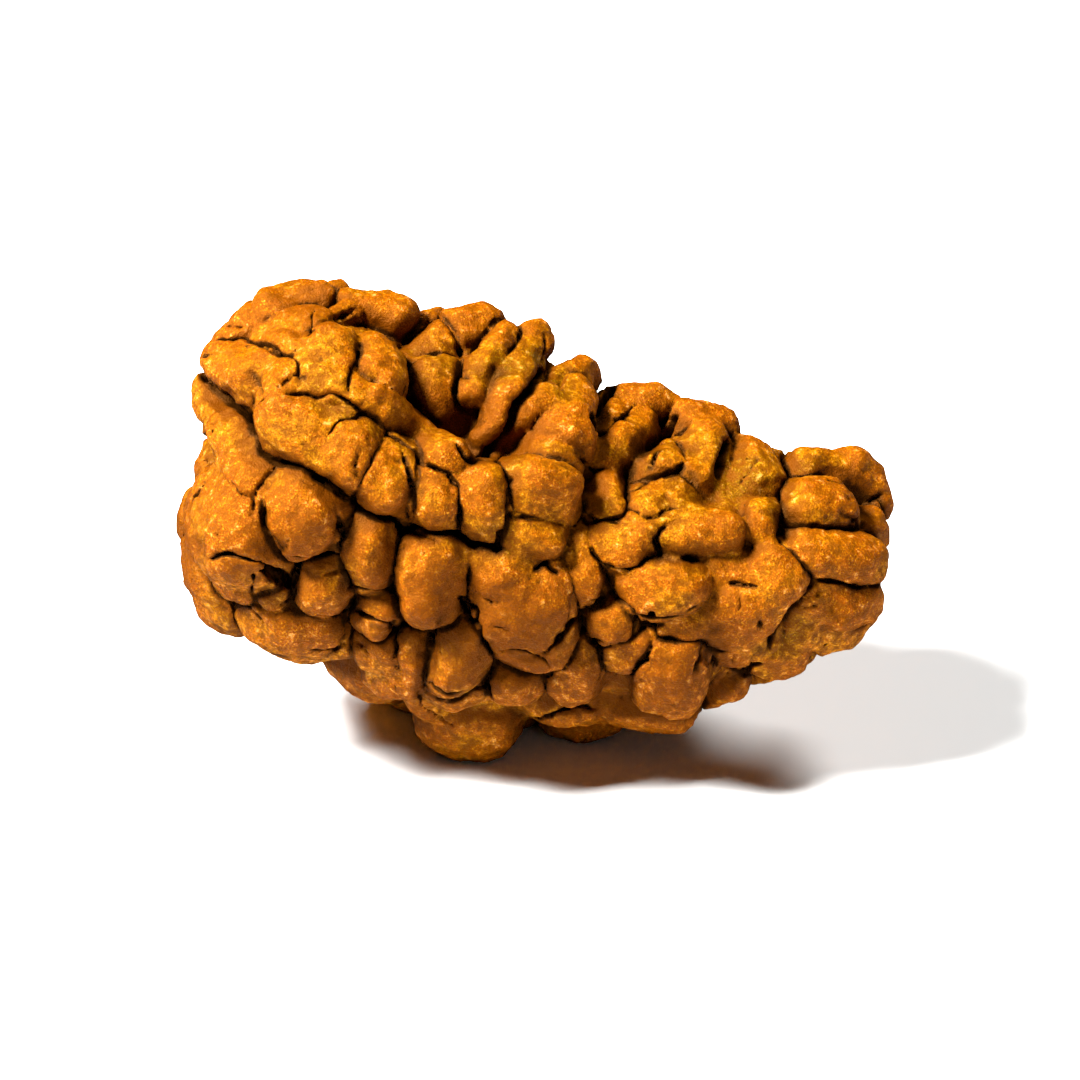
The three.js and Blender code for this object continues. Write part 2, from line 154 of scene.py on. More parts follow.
def at(field, points):
    """Calls a distance function of x, y, z with an array of points."""
    return field(*np.moveaxis(np.asarray(points, float), -1, 0))


def slope(field, points, reach):
    """Direction in which a distance grows, measured over the given reach."""
    steps = np.eye(3) * reach
    return unit(np.stack([at(field, points + s) - at(field, points - s) for s in steps], axis=-1))


def cast(field, starts, direction, reach):
    """Walks from each start along its direction to the surface, or to the place where it came closest."""
    travelled = np.zeros(len(starts))
    closest = np.full(len(starts), np.inf)
    best = travelled.copy()
    while np.any((travelled < reach) & (closest > TOUCHING)):
        gap = at(field, starts + direction * travelled[:, None])
        nearer = (gap < closest) & (closest > TOUCHING)
        closest = np.where(nearer, gap, closest)
        best = np.where(nearer, travelled, best)
        travelled = travelled + np.clip(CAUTION * gap, TOUCHING, LONGEST_STEP)
    return starts + direction * best[:, None]


# %% [markdown]
# Under the lobes the stone is a plain half-moon: a tall head, a deep belly, a waist and a narrow end,
# joined with wide, soft blends. Two soft hollows on top part the roll in front from the crest behind.

# %% Plain body
BODY_BLEND = 2.0
DIP_BLEND = 1.6
BODY_PARTS = [
    # middle, radii
    [(-8.5, 0.2, 3.0), (4.5, 5.0, 6.4)],    # head
    [(-3.0, 0.1, 0.5), (6.2, 5.5, 7.6)],    # belly
    [(4.2, 0.0, -1.0), (6.2, 5.0, 5.5)],    # waist
    [(9.8, 0.0, -1.0), (3.5, 3.7, 3.6)],    # narrow end
    [(-0.6, 1.2, -4.0), (6.6, 3.6, 4.7)],   # underside
    [(-10.8, -0.6, 0.3), (2.9, 3.4, 3.0)],  # cheek
]
DIPS = [
    [(-1.6, -1.6, 7.6), (4.6, 1.7, 2.3)],
    [(5.4, -1.9, 5.2), (4.0, 1.5, 1.6)],
]

body_lobes = [Lobe(middle, np.eye(3), radii, BODY_POWER) for middle, radii in BODY_PARTS]
dip_lobes = [Lobe(middle, np.eye(3), radii, 2) for middle, radii in DIPS]


def body(x, y, z):
    """Distance to the plain body."""
    distance = body_lobes[0].distance(x, y, z)
    for lobe in body_lobes[1:]:
        distance = join(distance, lobe.distance(x, y, z), BODY_BLEND)
    for lobe in dip_lobes:
        distance = carve(distance, lobe.distance(x, y, z), DIP_BLEND)
    return distance


# %% [markdown]
# Fingers and knobs stand up along the crest, and longer ones frame the furrow at the head. Each could be a
# tube of rings, but a ball swept from one end to the other joins its neighbours without a seam, so it is
# drawn by its two ends as the sketch shows them. The feet that the stone rests on are given as upright lobes.

# %% Fingers of the crest
FINGERS = [
    # right, up, towards the eye, radius, twice
    [-10.5, 9.1, 2.8, 1.0, -9.1, 9.25, 2.4, 1.0],
    [-8.5, 9.6, 1.2, 0.6, -8.2, 9.65, 1.2, 0.65],
    [-7.5, 9.15, 2.6, 0.75, -6.2, 8.95, 2.3, 1.15],
    [-9.4, 7.9, 4.6, 0.5, -7.6, 8.8, 3.2, 0.55],
    [-4.6, 8.6, 1.0, 0.6, -4.1, 8.7, 0.8, 0.55],
    [-5.6, 7.9, 1.5, 0.8, -4.2, 8.2, 1.2, 0.85],
    [-4.4, 7.5, 2.6, 0.85, -3.8, 7.9, 2.2, 0.8],
    [-3.3, 8.1, 1.9, 0.95, -2.2, 8.3, 1.7, 0.95],
    [-2.6, 5.9, 4.2, 0.6, -1.5, 7.9, 2.4, 0.7],
    [-1.0, 5.9, 3.9, 0.8, -0.2, 7.9, 1.5, 0.85],
    [0.4, 5.6, 2.9, 0.6, 2.0, 6.8, 1.0, 0.75],
    [1.5, 5.9, 2.2, 0.8, 1.1, 4.6, 3.6, 1.0],
    [0.9, 4.7, 3.7, 1.0, 1.05, 4.0, 4.0, 1.15],
    [3.2, 5.5, 0.4, 0.65, 4.6, 5.45, -0.1, 0.85],
    [2.9, 5.6, 0.8, 0.5, 2.75, 4.7, 1.9, 0.55],
    [3.9, 4.7, 1.0, 0.6, 3.0, 3.7, 2.8, 0.65],
    [5.9, 4.5, 0.4, 0.85, 7.0, 4.45, -0.2, 1.0],
    [6.5, 4.0, 1.3, 0.85, 5.9, 2.6, 2.9, 0.75],
    [8.4, 3.4, 0.6, 0.95, 8.5, 2.5, 1.9, 1.15],
    [10.5, 2.8, 0.3, 0.9, 12.3, 2.65, -0.6, 0.9],
    [12.3, 2.65, -0.6, 0.9, 13.0, 2.2, -0.9, 0.75],
    [12.8, 0.5, 0.6, 1.0, 13.15, 0.3, 0.2, 0.95],
    [13.5, 1.4, -0.8, 0.55, 13.7, 1.4, -0.9, 0.5],
    [-12.2, 7.9, 2.6, 0.75, -11.3, 8.8, 2.6, 0.85],
    [-12.4, 7.1, 2.8, 0.95, -11.3, 6.5, 5.2, 1.2],
    [-12.9, 5.7, 2.4, 0.75, -12.1, 4.0, 5.2, 1.0],
    [-12.1, 4.0, 5.2, 1.0, -11.3, 2.4, 6.1, 1.0],
]
FEET = [
    # middle, radii of the lobes that reach down to the rest spot
    [(-2.8, -1.8, -7.2), (2.3, 1.8, 1.95)],
    [(1.9, -0.7, -7.6), (1.7, 1.4, 1.55)],
    [(4.3, 1.4, -7.5), (1.6, 1.4, 1.65)],
    [(-1.6, 0.8, -7.9), (2.0, 1.6, 1.3)],
    [(-4.9, 1.9, -7.5), (1.7, 1.6, 1.7)],
    [(-1.4, 3.0, -7.5), (1.8, 1.4, 1.7)],
    [(2.0, 2.7, -7.5), (1.7, 1.4, 1.65)],
]

shapes = [Lobe(middle, np.eye(3), radii) for middle, radii in FEET]
for row in FINGERS:
    start, end = from_sketch(row[0:3]), from_sketch(row[4:7])
    shapes.append(Finger(start, row[3], end, row[7]))

# %% [markdown]
# The other lobes of the furrowed side are drawn as ellipses on the sketch and dropped onto the body along
# the line of sight. Each then lies along the body's surface, sunk a little into it, and wide lobes stand
# higher than narrow ones. Where the body leans away from the eye, a lobe is longer than it looks.

# %% Lobes of the furrowed side
SKETCHED_LOBES = [
    # right, up, half length, half width, turn in degrees, height factor
    # wide swellings that carry the smaller lobes
    [-0.8, -2.4, 2.1, 2.0, 0, 0.8],
    [7.9, -2.0, 2.0, 1.7, -40, 0.8],
    [4.9, -5.0, 1.8, 1.6, 0, 0.9],
    [-9.9, -3.1, 2.2, 1.2, -15, 0.8],
    # crest
    [-6.4, 6.7, 1.3, 1.1, 90, 1.0],
    [-4.1, 6.1, 1.3, 1.0, 90, 1.0],
    [-0.3, 5.0, 1.5, 0.75, 45, 1.1],
    [0.6, 3.2, 1.1, 1.0, 90, 0.9],
    [2.2, 3.3, 0.9, 0.8, 90, 0.8],
    [4.6, 2.9, 1.1, 0.85, 20, 1.0],
    [2.5, 1.9, 1.2, 0.85, 95, 1.0],
    [4.6, 1.5, 1.5, 0.85, 15, 1.0],
    # narrow end
    [11.0, 1.5, 1.5, 1.15, 0, 1.0],
    [8.7, 0.7, 1.0, 0.85, 90, 1.0],
    [11.6, -0.7, 1.9, 1.25, 0, 1.0],
    [11.8, -2.4, 1.5, 1.2, 0, 1.0],
    [10.4, -3.3, 1.1, 1.0, 0, 0.8],
    [11.9, -3.5, 1.3, 1.0, 10, 0.9],
    [9.4, -4.5, 1.5, 0.8, 10, 0.9],
    # middle
    [0.1, 2.1, 1.4, 1.35, 0, 1.1],
    [-0.3, 0.2, 1.3, 0.95, 0, 1.1],
    [1.6, -0.9, 1.7, 0.9, 100, 1.0],
    [2.9, 0.0, 1.4, 1.0, -10, 1.0],
    [4.0, 0.7, 0.9, 0.65, -35, 0.9],
    [6.2, 0.4, 2.0, 1.0, -5, 1.0],
    [4.8, -1.7, 1.9, 1.15, 0, 1.1],
    [2.9, -2.9, 1.0, 1.05, 90, 1.0],
    [-1.4, -1.5, 1.5, 1.1, -10, 1.1],
    [0.6, -2.3, 1.0, 1.0, 0, 1.0],
    [-0.4, -3.4, 2.0, 1.2, 5, 1.0],
    [1.4, -4.8, 1.3, 1.2, 90, 1.0],
    [3.6, -4.2, 1.3, 1.0, 45, 1.0],
    [5.2, -3.2, 1.3, 0.8, 0, 0.8],
    [5.3, -5.2, 1.3, 1.1, 90, 1.0],
    [9.1, -1.4, 1.6, 1.35, -55, 1.2],
    [7.1, -1.1, 1.0, 0.9, 0, 0.9],
    [7.2, -2.8, 1.3, 1.1, -80, 1.0],
    [7.7, -3.9, 1.2, 0.9, 0, 0.9],
    [9.0, -3.7, 1.0, 0.6, 75, 0.9],
    [7.1, -5.9, 1.1, 0.9, 70, 1.0],
    # roll above the furrow
    [-10.0, 8.3, 1.4, 0.8, 0, 0.9],
    [-10.6, 7.5, 1.2, 0.6, -10, 0.9],
    [-8.3, 7.3, 1.1, 0.9, -20, 1.0],
    [-10.1, 5.9, 0.9, 1.0, 0, 1.1],
    [-9.5, 4.5, 1.6, 1.4, -35, 1.1],
    [-7.8, 3.5, 1.5, 1.5, -30, 1.1],
    [-6.1, 2.5, 1.5, 1.45, -40, 1.1],
    [-4.2, 1.7, 1.7, 1.05, -75, 1.1],
    [-2.3, 1.2, 1.5, 1.0, 90, 1.1],
    # below the furrow
    [-12.0, 0.7, 2.4, 2.0, 85, 1.1],
    [-9.6, 1.2, 1.7, 1.5, -60, 1.1],
    [-8.7, -1.6, 1.3, 1.25, 0, 1.1],
    [-6.9, -0.3, 1.7, 1.1, -85, 1.1],
    [-4.4, -1.6, 1.8, 1.45, 90, 1.2],
    [-6.4, -2.7, 1.0, 0.9, -20, 1.0],
    [-12.2, -1.6, 1.0, 0.9, 0, 0.9],
    [-10.5, -1.8, 0.9, 0.8, 0, 0.9],
    [-9.6, -3.3, 1.4, 1.0, 0, 0.9],
    [-8.1, -3.7, 1.0, 0.9, 0, 0.8],
    [-9.9, -3.8, 2.0, 0.8, -12, 0.8],
    [-6.4, -4.2, 1.0, 1.0, 0, 0.9],
    [-5.0, -4.7, 1.2, 0.8, 90, 1.0],
    [-3.0, -4.4, 1.6, 1.2, 70, 1.1],
    [-3.2, -5.8, 1.4, 0.6, 10, 1.0],
    [-6.0, -5.3, 1.1, 0.7, -35, 0.9],
    [-4.6, -6.5, 1.2, 0.8, -70, 0.9],
    [-1.0, -5.3, 1.2, 0.9, -5, 1.1],
    [1.0, -6.4, 1.5, 0.9, 10, 0.9],
    [4.0, -6.4, 2.2, 1.1, 5, 1.0],
]
SINK = 0.22            # part of a lobe's height that is under the body's surface
LOBE_FLOOR = 0.38      # height of a lobe of no width
LOBE_SLOPE = 0.74      # how much higher a lobe stands for each millimetre of half width
MAX_STRETCH = 1.6      # the most that a lobe on a leaning surface grows past its sketched size
LEAST_FACING = 0.45    # a surface that leans more than this is taken to lean this much
SHINGLE = 0.28         # how far the lobes of the furrowed side lean to the upper left, like shingles
BODY_REACH = 0.01      # reach over which the plain body's direction is measured
SIGHT = 30.0           # distance from which lobes and cracks are dropped


def seated_lobe(place, normal, along, half_length, half_width, height_factor):
    """A lobe on the body, with its length along one tangent and its height along the normal."""
    height = (LOBE_FLOOR + LOBE_SLOPE * half_width) * height_factor
    axes = [along, np.cross(normal, along), normal]
    return Lobe(place - normal * SINK * height, axes, [half_length, half_width, height])


def flatten(vectors, normals):
    """The part of each direction that lies along the surface."""
    return unit(vectors - normals * np.sum(vectors * normals, axis=-1, keepdims=True))


def drop(field, sketch_places):
    """Surface places under places (right, up) of the sketch."""
    starts = [(right, up, SIGHT) for right, up in sketch_places]
    return cast(field, from_sketch(starts), -TOWARDS, 2 * SIGHT)


places = drop(body, [row[:2] for row in SKETCHED_LOBES])
normals = slope(body, places, BODY_REACH)
for row, place, normal in zip(SKETCHED_LOBES, places, normals):
    half_length, half_width, turn, height_factor = row[2:]
    flat = from_sketch((math.cos(math.radians(turn)), math.sin(math.radians(turn)), 0))
    lean = flat @ normal / max(normal @ TOWARDS, LEAST_FACING)
    along = flatten(flat - lean * TOWARDS, normal)
    side = np.cross(normal, along)
    seen = max(math.hypot(side @ RIGHT, side @ UP), 1 / MAX_STRETCH)
    stretch = min(math.hypot(1, lean), MAX_STRETCH)
    sizes = (half_length * stretch, half_width / seen, height_factor)
    leaning = unit(normal + SHINGLE * unit(UP - RIGHT))
    shapes.append(seated_lobe(place, leaning, flatten(along, leaning), *sizes))
print("lobes drawn on the sketch:", len(shapes))

# %% [markdown]
# Two ridges are no rows of lobes: a short one runs down from the crest into the hollow, and a long one
# follows the upper edge of the roll. Each is a chain of fingers along a line of the sketch, at one height
# over the body, so that it dips and rises with it.

# %% Ridges
RIDGES = [
    # radius, height of its middle over the body, places (right, up)
    [0.75, 0.35, [(-1.1, 5.8), (-1.6, 4.9), (-2.2, 4.0)]],
    [0.85, 0.1, [(-8.6, 6.2), (-7.6, 5.7), (-6.6, 5.1), (-5.6, 4.4), (-4.6, 3.7), (-3.7, 3.1)]],
]

for radius, rise, line in RIDGES:
    places = drop(body, line)
    places = places + rise * slope(body, places, BODY_REACH)
    for start, end in zip(places[:-1], places[1:]):
        shapes.append(Finger(start, radius, end, radius))
print("with the ridges:", len(shapes))

# %% [markdown]
# The photograph hides the far side. There the same kind of lobes grow by a rule: places spread evenly
# round the seed are tried in turn, the widest lobes first, and a lobe grows wherever there is room.
# The evenly spread directions come from the golden angle, as the florets of a sunflower do.

# %% Lobes of the far side
FAR_WIDTHS = [1.65, 1.3, 1.0, 0.75]
FAR_PLACES = 900       # places that are tried for each width
FAR_STRIDE = 277       # order in which they are tried, so that neighbours don't follow each other
FAR_LIMIT = 0.2        # the most that a far lobe faces the sketch
RIM_LIMIT = -0.6       # far lobes that face the sketch more than this show at its outline
RIM_HEIGHT = 0.55      # and are kept low, because the outline is drawn by the nearer lobes
FAR_GAP = 0.62         # room between two lobes, as part of the new one's half width
FAR_LENGTH = 1.15      # half length of a far lobe, as part of its half width
LENGTH_CHANGE = 0.25   # how much longer or shorter it may be
HEIGHT_CHANGE = 0.1    # how much higher or lower
GOLDEN_ANGLE = math.pi * (3 - math.sqrt(5))
HEAD_CORE = {"x": -8.5, "z": 2.6, "half": 3.2}    # the upright core line at the head
TIP_CORE = {"x": 10.2, "z": -0.9, "half": 0.6}    # and at the narrow end
REACH = 14.0           # how far from the core the casting starts


def spread_directions(count):
    """Directions that are spread evenly over a ball."""
    number = np.arange(count)
    x = 1 - (2 * number + 1) / count
    ring = np.sqrt(1 - x * x)
    return np.stack([x, ring * np.cos(number * GOLDEN_ANGLE), ring * np.sin(number * GOLDEN_ANGLE)], -1)


def from_core(field, directions):
    """Surface places that are seen from the seed's core, a thin plate that narrows towards the tip."""
    part = (directions[:, 0] + 1) / 2
    x, z, half = (HEAD_CORE[key] + part * (TIP_CORE[key] - HEAD_CORE[key]) for key in ("x", "z", "half"))
    core = np.stack([x, np.zeros(len(part)), z + half * directions[:, 2]], -1)
    return cast(field, core + REACH * directions, -directions, REACH)


directions = spread_directions(FAR_PLACES)
places = from_core(body, directions)
normals = slope(body, places, BODY_REACH)
for width in FAR_WIDTHS:
    for i in range(FAR_PLACES):
        which = i * FAR_STRIDE % FAR_PLACES
        place, normal = places[which], normals[which]
        if normal @ TOWARDS > FAR_LIMIT:
            continue
        if any(shape.distance(*place) < FAR_GAP * width for shape in shapes):
            continue
        turn = i * GOLDEN_ANGLE
        along = flatten(from_sketch((math.cos(turn), math.sin(turn), math.sin(2 * turn))), normal)
        half_length = width * (FAR_LENGTH + LENGTH_CHANGE * math.sin(5 * i))
        height_factor = 1 + HEIGHT_CHANGE * math.cos(3 * i)
        if normal @ TOWARDS > RIM_LIMIT:
            height_factor = RIM_HEIGHT
        shapes.append(seated_lobe(place, normal, along, half_length, width, height_factor))
print("lobes in all:", len(shapes))

# %% [markdown]
# Nothing on a seed is a perfect ellipsoid. Before a lobe's distance is measured, space itself is bent a
# little by smooth noise: one wide wave that makes lobes lopsided, and one short wave that makes their
# rims wander. The noise is a lattice of random numbers, spread smoothly over the grid by cubic weights.
# The plain body is so smooth that it can be measured on a coarse lattice and spread in the same way.

# %% Smooth fields
GAIN = 3.4      # smoothing evens the numbers out, and this brings their spread back
rng = np.random.default_rng(SEED)


def knots(spacing):
    """Places of a lattice's knots along each axis, from one spacing before the block to one after it."""
    return [
        low + spacing * np.arange(-1, math.ceil((high - low) / spacing) + 2) for low, high in zip(LOW, HIGH)
    ]


def spread(values, spacing, axes):
    """Values at a lattice's knots, spread smoothly over the grid lines of three axes."""
    for axis, knot in zip(axes, knots(spacing)):
        far = np.abs(axis[:, None] - knot[None, :]) / spacing
        weights = np.where(far < 1, 4 - 6 * far**2 + 3 * far**3, np.maximum(2 - far, 0) ** 3) / 6
        values = np.tensordot(values, weights.astype(np.float32), axes=(0, 1))
    return values


def random_lattice(spacing):
    """Random numbers for a lattice, whose smooth field then varies by about one up and down."""
    return rng.uniform(-GAIN, GAIN, [len(knot) for knot in knots(spacing)]).astype(np.float32)


WARPS = [
    # spacing of the lattice, how far space is moved
    [1.6, 0.2],
    [0.6, 0.06],
]
warps = [(spacing, size, [random_lattice(spacing) for _ in range(3)]) for spacing, size in WARPS]

BODY_LATTICE = 0.4
lattice_axes = knots(BODY_LATTICE)
body_lattice = body(*np.meshgrid(*lattice_axes, indexing="ij")).astype(np.float32)
plain = spread(body_lattice, BODY_LATTICE, AXES)
print("plain body measured; inside it:", volume_inside(plain), "cubic mm")

# %% [markdown]
# Each lobe is measured only in the small block of the grid that it fills. Two more numbers are kept for
# every grid point: the distance to its nearest lobe and to the second nearest. Where they are equal, two
# lobes meet, and the crevice there is deepened into a narrow slit, as on the real stone.

# %% Grow the lobes
LOBE_BLEND = 0.42      # rounding where two lobes meet
BLEND_CHANGE = 0.26    # how much more or less they are rounded from place to place
LEAST_BLEND = 0.12
BLEND_LATTICE = 1.8
MARGIN = 0.9           # how far round a lobe it is measured
SLIT_WIDTH = 0.08
SLIT_DEPTH = 0.08
SLIT_CHANGE = 0.15     # how much deeper or shallower slits get from place to place
SLIT_LATTICE = 1.5
FAR_OFF = 9.0          # distance to a lobe before any has been measured


def block(middle, half_box):
    """The part of the grid round a shape, as one slice for each axis."""
    return tuple(
        slice(*np.searchsorted(axis, (centre - half, centre + half)))
        for axis, centre, half in zip(AXES, middle, half_box)
    )


def grid_places(part, bent):
    """x, y and z of the grid points in a block, bent by the noise or not."""
    axes = [axis[cut].astype(np.float32) for axis, cut in zip(AXES, part)]
    place = np.meshgrid(*axes, indexing="ij", sparse=True)
    if bent:
        for spacing, size, lattices in warps:
            place = [value + size * spread(one, spacing, axes) for value, one in zip(place, lattices)]
    return place


blend = LOBE_BLEND + BLEND_CHANGE * spread(random_lattice(BLEND_LATTICE), BLEND_LATTICE, AXES)
blend = np.maximum(blend, LEAST_BLEND)
field = plain.copy()
nearest = np.full_like(plain, FAR_OFF)
second = np.full_like(plain, FAR_OFF)
for shape in shapes:
    part = block(shape.middle, shape.half_box + MARGIN)
    distance = shape.distance(*grid_places(part, bent=True)).astype(np.float32)
    field[part] = join(field[part], distance, blend[part])
    second[part] = np.minimum(second[part], np.maximum(nearest[part], distance))
    nearest[part] = np.minimum(nearest[part], distance)

depth = SLIT_DEPTH + SLIT_CHANGE * spread(random_lattice(SLIT_LATTICE), SLIT_LATTICE, AXES)
field += np.maximum(depth, 0) * np.exp(-(((second - nearest) / SLIT_WIDTH) ** 2))
border = second - nearest      # 0 where two lobes meet
del nearest, second, depth, blend
print("seed grown; inside it:", volume_inside(field), "cubic mm")

# %% [markdown]
# Now the cuts. The long furrow is the seed's face line, where the stone would split to let the seedlings
# out. The other crevices lie between lobes, where the fruit's flesh held on to the stone. They could be
# painted on, but they are deep enough to hide what is inside, so they are cut. Each is drawn on the sketch
# as a line of places (right, up).

# %% Furrow and crevices, drawn on the sketch
FURROW = [
    [
        (-13.4, 6.6), (-12.9, 6.3), (-12.3, 5.7), (-11.8, 5.2), (-11.3, 4.9), (-11.1, 4.4), (-10.8, 3.5),
        (-10.3, 3), (-9.6, 2.6), (-9, 2.4), (-8.4, 2.1), (-7.8, 1.7), (-7.2, 1.4), (-6.6, 1), (-6, 0.5),
        (-5.4, 0.3), (-4.6, 0.3), (-4, 0.1), (-3.4, 0), (-2.8, -0.2), (-1.6, -0.3),
    ],
]
CREVICES_TOP = [
    [(-13.1, 7.8), (-12.4, 8), (-11.4, 7.9), (-10.6, 7.6), (-9.8, 7.2)],
    [(-9.8, 7.2), (-9.5, 6.7), (-8.9, 6.4)],
    [(-6.7, 7.9), (-7.2, 7.2), (-7.4, 6.5), (-7.5, 5.9)],
    [(-10.9, 5.8), (-11.2, 5)],
    [(-9.8, 5.4), (-9, 5.6), (-8.2, 5.8), (-7.1, 5.1), (-5.6, 4), (-5, 3.4), (-4, 2.6), (-3.7, 2.2)],
    [(-8.6, 9.6), (-9.2, 8.7), (-8.7, 8.2), (-8.4, 8.6)],
    [(-5.1, 7), (-4.4, 7.1), (-3.8, 7.3), (-3.4, 7.2)],
    [(-2.2, 7.9), (-2.9, 6.9), (-3.3, 5.8)],
    [(0.2, 8.2), (0, 7.4)],
    [(-8, 3.8), (-7.6, 4.5), (-6.8, 4.8)],
    [(-3.7, 2.3), (-3.3, 1.9), (-3.2, 1.4), (-3.2, 0.8), (-3.3, 0.2), (-3.4, 0)],
    [(-1.5, 2), (-1.4, 0.9), (-1.6, 0.4), (-1.9, -0.2)],
    [(-3.3, 3.8), (-3.1, 3.5), (-2.4, 3.2), (-1.8, 3.1), (-1.2, 3.4)],
    [(-0.4, 3.8), (-0.5, 3.4), (-0.7, 3.1)],
    [(-1.3, 2.1), (-1, 2.3), (-0.8, 2.4)],
    [(1.7, 3), (2.3, 2.7), (2.4, 3), (2.6, 3.2)],
    [(2.1, 1.2), (2.4, 0.9), (3, 0.9), (3.2, 1.3), (3.2, 1.6), (3.2, 2.2), (3.4, 2.8)],
    [(3.7, 2), (4.2, 2.1), (4.6, 2.4), (5.2, 2.8), (5.4, 3.2)],
    [(2, 4.8), (2.4, 4.2), (2.9, 4.4), (3.9, 5.4)],
]
CREVICES_MIDDLE = [
    [(1.9, -0.2), (2.2, -0.8), (2.5, -1.3), (2.9, -1.8), (3.3, -2.1), (3.6, -2.4), (3.9, -2.7), (4, -3)],
    [(4, -3), (3.8, -3.3), (3.5, -3.6), (3.2, -3.9), (2.6, -4), (2.1, -3.8), (2.4, -4.3)],
    [(4, -3), (4.8, -2.8), (5.6, -2.9), (6.1, -2.5), (6.3, -2.5)],
    [
        (4.1, -3.1), (4.5, -3.6), (4.7, -3.8), (5.6, -3.9), (6.2, -3.9), (6.5, -4.1), (6.9, -4.3),
        (7.4, -4.5), (7.7, -4.6),
    ],
    [(4.4, -4.4), (4, -4.9), (3.8, -5.1), (3.3, -5.3)],
    [(2.6, -1.1), (3.1, -0.9), (4.2, -0.8), (4.6, -0.7)],
    [(4.8, -0.2), (5, 0.1), (5.4, 0.4)],
    [
        (-3.1, -1), (-3, -2), (-2.8, -2.6), (-2.4, -2.8), (-2.1, -3.4), (-2, -4.2), (-1.8, -4.8),
        (-1.9, -5.3), (-2.1, -5.6),
    ],
    [(-1.6, -4.4), (-0.8, -4.4), (-0.2, -4.6), (0.2, -4.8), (0.5, -5.4), (0.7, -5.7)],
    [(1.5, -3.2), (0.8, -3.9), (0.3, -4.4), (0.1, -4.5)],
    [(0, -7.3), (0.8, -7.2), (1.4, -7.1), (2, -6.9)],
]
CREVICES_LEFT = [
    [
        (-8.1, 1), (-8, 0.6), (-7.9, -0.2), (-7.8, -0.8), (-7.6, -1.2), (-7.4, -1.6), (-7.4, -2.1),
        (-7.8, -2.2),
    ],
    [(-11.3, 1.2), (-10.9, 0.6), (-10.4, 0.1), (-10, -0.3)],
    [(-9.5, -0.5), (-8.7, -0.7), (-7.9, -0.6)],
    [
        (-9.1, -2.6), (-8.6, -2.8), (-7.9, -2.9), (-7.5, -2.8), (-7.3, -2.4), (-7.2, -2), (-6.4, -1.8),
        (-6, -1.9),
    ],
    [(-5.8, 0.2), (-5.8, -0.8), (-5.8, -1.6), (-6, -1.9), (-5.7, -2.4), (-5.7, -3)],
    [
        (-7.3, -2.9), (-6.8, -3.2), (-6.4, -3.5), (-5.8, -3.6), (-5.2, -3.6), (-4.6, -3.5), (-4.1, -3.7),
        (-4.1, -4.2),
    ],
    [(-13.1, -0.4), (-12.5, -0.7), (-11.8, -0.9), (-11.3, -1.1), (-10.8, -1.4), (-10, -1.6)],
    [(-4.2, -5.9), (-3.6, -6), (-3.2, -5.9)],
    [(-4.1, -6.3), (-3.6, -6.4), (-2.8, -6.3), (-2, -5.7)],
]
CREVICES_RIGHT = [
    [(9.7, 3.4), (9.7, 2.4), (9.6, 1.6)],
    [(9.6, 0.8), (10, 0.3), (10.8, 0.4), (11.8, 0.5), (12.2, 0.7), (12.6, 1.1)],
    [(9.5, 1), (9.5, -0.2), (9.7, -0.4), (10.2, -0.8), (10.5, -1.3), (10.7, -1.4), (10.8, -2)],
    [(11.1, -1.4), (11.6, -1.4), (12.1, -1.6), (12.6, -2.1)],
    [(7.6, -2), (8, -2), (8.7, -1.8)],
    [(10.2, -2.6), (9.8, -3), (9.6, -3.1), (9.4, -3.6), (9.1, -4.3)],
    [(6.4, -4.4), (6.3, -5), (6.1, -5.4)],
    [(12.6, 1.1), (13.2, 1.6), (13.8, 1.7)],
    [(9.2, -5.1), (8.2, -5.3)],
]

# %% [markdown]
# Hairline cracks come from shrinking as the stone dries, and run straight over a lobe. Gaps are short, wide
# holes where three lobes meet, valleys part the fingers of the crest down to their feet, and pits are the
# small round holes that fibres leave.

